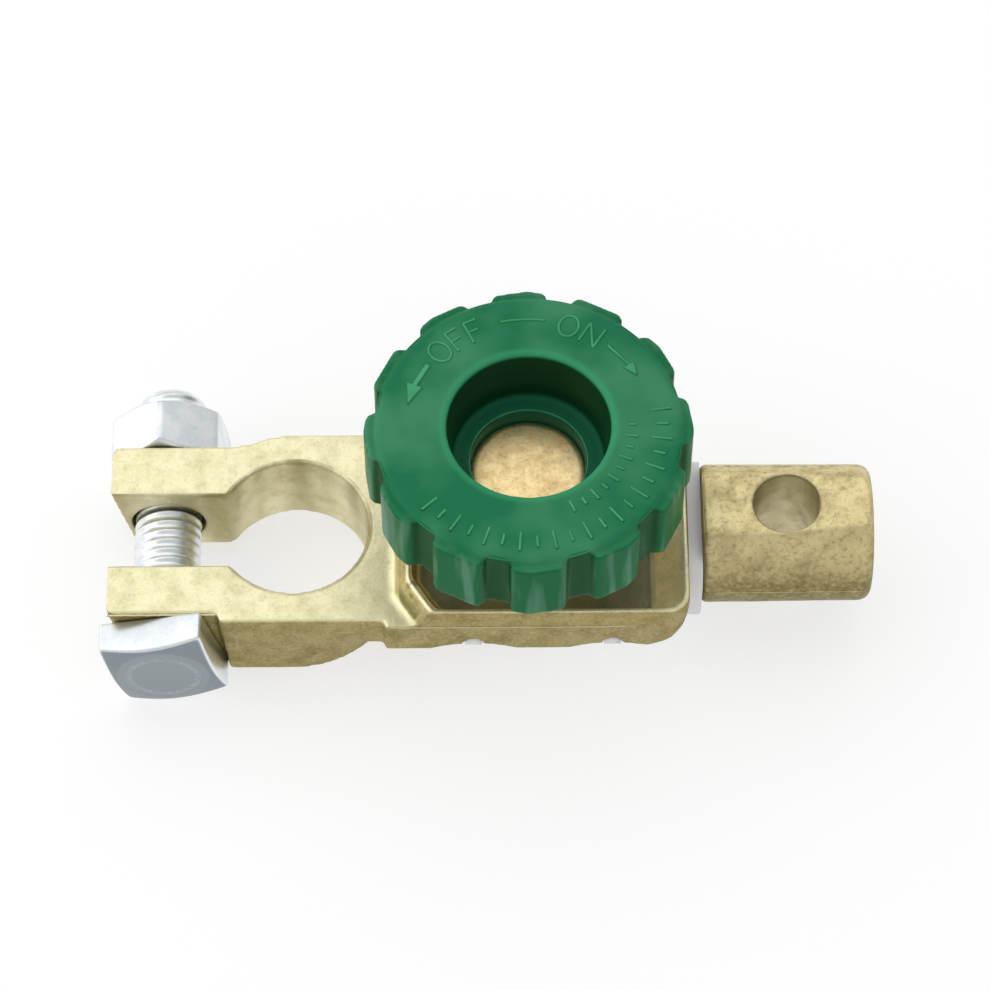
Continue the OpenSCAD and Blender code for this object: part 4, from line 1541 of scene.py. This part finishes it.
@dataclass
class ClampScrew:
    """The zinc-plated clamp bolt with its square head, and its nut.

    The rows of the head's face are radius and depth. The wear of a worn edge is its inset and the depths
    of its two rows.
    """

    axis_x: float = -15.1
    axis_z: float = -6.7
    head_af: float = 12.2
    head_h: float = 4.6
    head_face_y: float = -11.55
    head_turn: float = 13.0
    head_face: tuple[tuple[float, float], ...] = (
        (AXIS_R, 0.05), (3.7, 0.05), (3.9, 0.0), (4.1, 0.0), (4.3, 0.04), (4.9, 0.04), (5.3, 0.09))
    head_bevel: float = 19.0
    head_bevel_rows: int = 6
    head_edge: float = 0.3
    head_wear: Point = (0.09, 0.12, 0.38)
    head_back: tuple[float, float] = (0.3, 0.08)
    head_back_r: float = 3.8
    nut_af: float = 13.0
    nut_h: float = 6.5
    nut_face_y: float = 11.2
    nut_turn: float = 8.0
    nut_hole: float = 4.0
    nut_chamfer: float = 0.4
    nut_face_inset: float = 0.15
    nut_face: tuple[tuple[float, float], ...] = ((0.3, 0.0), (0.05, 0.03))
    nut_bevel: float = 30.0
    nut_edge: float = 0.22
    nut_wear: Point = (0.06, 0.08, 0.3)
    end_y: float = 21.3
    into_head: float = 0.2
    thread_r: float = 3.95
    thread_depth: float = 0.2
    thread_lead: float = 0.8
    thread_row: float = 0.08
    thread_sharp_degrees: float = 70.0
    pitch: float = 1.25

    def onto_axis(self, piece: bpy.types.Object, y: float, twist: float) -> bpy.types.Object:
        """Turn a piece made along Z onto the bolt's axis, with +Z towards the nut.

        Args:
            piece: The piece.
            y: Where its origin goes along the axis.
            twist: Turn about its own axis, in degrees.

        Returns:
            The same piece.
        """
        place = Matrix.Translation((self.axis_x * MM, y * MM, self.axis_z * MM))
        lay = Matrix.Rotation(-math.pi / 2, 4, "X")
        piece.data.transform(place @ lay @ Matrix.Rotation(math.radians(twist), 4, "Z"))
        return piece

    def faceted(self, name: str, sides: int, across: float, rows: list[Row],
                closed: bool) -> bpy.types.Object:
        """Make a head or nut from rows that give radius and height for each reach of its outline.

        Args:
            name: The piece's name.
            sides: Number of flats.
            across: Width across the flats.
            rows: Radius and height of each row, from the outline's reach.
            closed: Whether it has a hole.

        Returns:
            The piece.
        """
        reaches = [(t, flat_reach(t, sides, across)) for t in turn(OUTLINE_STEPS)]
        rings = [[(r * math.cos(t), r * math.sin(t), z) for t, (r, z) in ((t, row(s)) for t, s in reaches)]
                 for row in rows]
        return ring_body(name, rings, closed)

    def head(self) -> bpy.types.Object:
        """Make the square head, whose outer corners are bevelled to a round face.

        Returns:
            The head, with its face at the origin.
        """
        face_r, face_z = self.head_face[-1]
        h, e, count = self.head_h, self.head_edge, self.head_bevel_rows
        inset, upper, lower = self.head_wear

        def drop(r: float) -> float:
            """Depth of the bevel at a radius."""
            return bevel_depth(r, face_r, self.head_bevel)

        def on_bevel(s: float, k: int) -> tuple[float, float]:
            """Radius and height of one row of the bevel."""
            r = face_r + (s - e - face_r) * k / count
            return (r, face_z + drop(r))

        rows: list[Row] = [lambda _, spot=spot: spot for spot in self.head_face]
        rows += [lambda s, k=k: on_bevel(s, k) for k in range(1, count + 1)]
        rows += [
            lambda s: (s - inset, drop(s) + upper), lambda s: (s, drop(s) + lower),
            lambda s: (s, h - self.head_back[0]), lambda s: (s - inset, h - self.head_back[1]),
            lambda s: (s - e, h), lambda _: (self.head_back_r, h), lambda _: (AXIS_R, h)]
        return self.faceted("bolt_head", 4, self.head_af, rows, closed=False)

    def nut(self) -> bpy.types.Object:
        """Make the hexagon nut, bevelled at both faces.

        Returns:
            The nut, with one face at the origin.
        """
        hole, chamfer, e = self.nut_hole, self.nut_chamfer, self.nut_edge
        face_r, face_z = self.nut_af / 2 - self.nut_face_inset, self.nut_face[-1][1]
        inset, upper, lower = self.nut_wear

        def drop(r: float) -> float:
            """Depth of the bevel at a radius."""
            return bevel_depth(r, face_r, self.nut_bevel)

        rows: list[Row] = [lambda _: (hole, chamfer), lambda _: (hole + chamfer, 0.0)]
        rows += [lambda _, inward=inward, z=z: (face_r - inward, z) for inward, z in self.nut_face]
        rows += [lambda s: (s - e, drop(s - e) + face_z), lambda s: (s - inset, drop(s) + upper),
                 lambda s: (s, drop(s) + lower)]
        rows += [lambda s, row=row: (row(s)[0], self.nut_h - row(s)[1]) for row in reversed(rows)]
        return self.faceted("clamp_nut_body", 6, self.nut_af, rows, closed=True)

    def build(self, trees: Trees, finishes: Finishes) -> None:
        """Build and dress the bolt and the nut.

        Args:
            trees: The shared trees.
            finishes: The finishes.
        """
        head = self.onto_axis(self.head(), self.head_face_y - self.head_h, -self.head_turn)
        dress(head, finishes.zinc, Body.BOLT, Slot.ZINC_PLATE, "clamp_bolt")
        length = self.end_y - self.head_face_y + self.into_head
        thread = grow(new_piece("bolt_thread", [(0, 0, 0)], []), trees.thread, {
            "Length": length * MM, "Radius": self.thread_r * MM, "Pitch": self.pitch * MM,
            "Depth": self.thread_depth * MM, "Lead": self.thread_lead * MM,
            "Rows": int(length / self.thread_row), "Material": finishes.zinc})
        thread = shade_by_angle(thread, self.thread_sharp_degrees)
        dress(self.onto_axis(thread, self.end_y - length / 2, 0), finishes.zinc, Body.BOLT, Slot.ZINC_PLATE)
        nut = self.onto_axis(self.nut(), self.nut_face_y, -self.nut_turn)
        dress(nut, finishes.zinc, Body.NUT, Slot.ZINC_PLATE, "clamp_nut")


# Stage


@dataclass(frozen=True)
class Lamp:
    """A soft lamp: its place and its width and height in metres, and its power in watts."""

    name: str
    place: Point
    size: tuple[float, float]
    watts: float


@dataclass
class Stage:
    """Floor, lamps, world and camera."""

    floor_z: float
    floor_half: float = 3.0
    floor_colour: str = "#F2F2F2"
    floor_shade: str = "#ABABAB"
    floor_glow: float = 0.66
    world_light: float = 0.76
    lamps: tuple[Lamp, ...] = (
        Lamp("ceiling_softbox", (-0.15, 0.55, 1.0), (1.5, 1.2), 3.0),
        Lamp("left_softbox", (-1.1, -0.1, 0.75), (0.9, 0.9), 3.2),
        Lamp("low_left_card", (-0.95, 0.62, 0.24), (0.7, 0.44), 1.0),
        Lamp("front_fill", (0.5, -1.1, 0.6), (0.8, 0.6), 0.5))
    lamp_target: Point = (0.023, 0.0, 0.0)
    elevation: float = 59.433
    azimuth: float = -0.337
    roll: float = 0.12
    distance_mm: float = 490.2
    target_mm: tuple[float, float] = (23.5, 3.653)
    lens: float = 152.92
    sensor: float = 36.0
    clip: tuple[float, float] = (0.01, 20.0)

    def floor(self) -> None:
        """Make the pale floor, which shows white to the camera and keeps the part's shadow."""
        h, z = self.floor_half / MM, self.floor_z / MM
        floor = new_piece("floor", [(-h, -h, z), (h, -h, z), (h, h, z), (-h, h, z)], [(0, 1, 2, 3)])
        tree, _, _ = start_material("matte_paper_floor")
        ray = add_node(tree, "ShaderNodeLightPath")
        seen = add_node(tree, "ShaderNodeMath", {
            0: ray.outputs["Is Camera Ray"], 1: ray.outputs["Is Glossy Ray"]}, operation="MAXIMUM")
        shown = add_node(tree, "ShaderNodeMath", {
            0: seen.outputs[0], 1: ray.outputs["Is Transmission Ray"]}, operation="MAXIMUM")
        colour = coats(tree, linear(self.floor_colour), (shown.outputs[0], linear(self.floor_shade)))
        paper = add_node(tree, "ShaderNodeBsdfDiffuse", {"Color": colour})
        glow = add_node(tree, "ShaderNodeMath", {0: shown.outputs[0], 1: self.floor_glow},
                        operation="MULTIPLY")
        light = add_node(tree, "ShaderNodeEmission", {"Strength": glow.outputs[0]})
        both = add_node(tree, "ShaderNodeAddShader", {0: paper.outputs[0], 1: light.outputs[0]})
        add_node(tree, "ShaderNodeOutputMaterial", {"Surface": both.outputs[0]})
        floor.data.materials.append(bpy.data.materials["matte_paper_floor"])
        floor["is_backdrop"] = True

    def world(self) -> None:
        """Light the part evenly and show a white room behind it."""
        world = bpy.data.worlds.new("white_room")
        world.use_nodes = True
        tree = world.node_tree
        tree.nodes.clear()
        ray = add_node(tree, "ShaderNodeLightPath")
        strength = add_node(tree, "ShaderNodeMapRange", {
            0: ray.outputs["Is Camera Ray"], 3: self.world_light, 4: 1.0})
        room = add_node(tree, "ShaderNodeBackground", {"Strength": strength.outputs[0]})
        add_node(tree, "ShaderNodeOutputWorld", {"Surface": room.outputs[0]})
        bpy.context.scene.world = world

    def hang(self, lamp: Lamp) -> None:
        """Hang a lamp that faces the part.

        Args:
            lamp: Its name, place, size and power.
        """
        data = bpy.data.lights.new(lamp.name, "AREA")
        data.shape = "RECTANGLE"
        data.size, data.size_y = lamp.size
        data.energy = lamp.watts
        piece = bpy.data.objects.new(lamp.name, data)
        piece.location = lamp.place
        aim = Vector(self.lamp_target) - Vector(lamp.place)
        piece.rotation_euler = aim.to_track_quat("-Z", "Y").to_euler()
        bpy.context.scene.collection.objects.link(piece)

    def camera(self) -> None:
        """Set the camera where the photograph was taken from."""
        e, a, r = (math.radians(v) for v in (self.elevation, self.azimuth, self.roll))
        right = Vector((math.cos(a), math.sin(a), 0))
        back = Vector((math.sin(a) * math.cos(e), -math.cos(a) * math.cos(e), math.sin(e)))
        up = back.cross(right)
        place = (right * self.target_mm[0] + up * self.target_mm[1] + back * self.distance_mm) * MM
        x = right * math.cos(r) - up * math.sin(r)
        y = right * math.sin(r) + up * math.cos(r)
        data = bpy.data.cameras.new("photo_camera")
        data.lens = self.lens
        data.sensor_width = self.sensor
        data.clip_start, data.clip_end = self.clip
        camera = bpy.data.objects.new("photo_camera", data)
        camera.matrix_world = Matrix.Translation(place) @ Matrix((x, y, back)).transposed().to_4x4()
        bpy.context.scene.collection.objects.link(camera)
        bpy.context.scene.camera = camera

    def build(self) -> None:
        """Build the whole stage."""
        self.floor()
        self.world()
        for lamp in self.lamps:
            self.hang(lamp)
        self.camera()
        bpy.context.scene.view_settings.view_transform = "Standard"


def main() -> None:
    """Build the switch and its stage in order."""
    logging.basicConfig(level=logging.INFO, format="%(name)s: %(message)s")
    cad_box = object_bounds()
    finishes = Finishes()
    trees = Trees()
    Castings().build(trees, finishes)
    Insulator().build(finishes)
    ContactStud().build(finishes)
    Knob().build(trees, finishes)
    ClampScrew().build(trees, finishes)
    Stage(floor_z=cad_box[0].z).build()


if __name__ == "__main__":
    main()
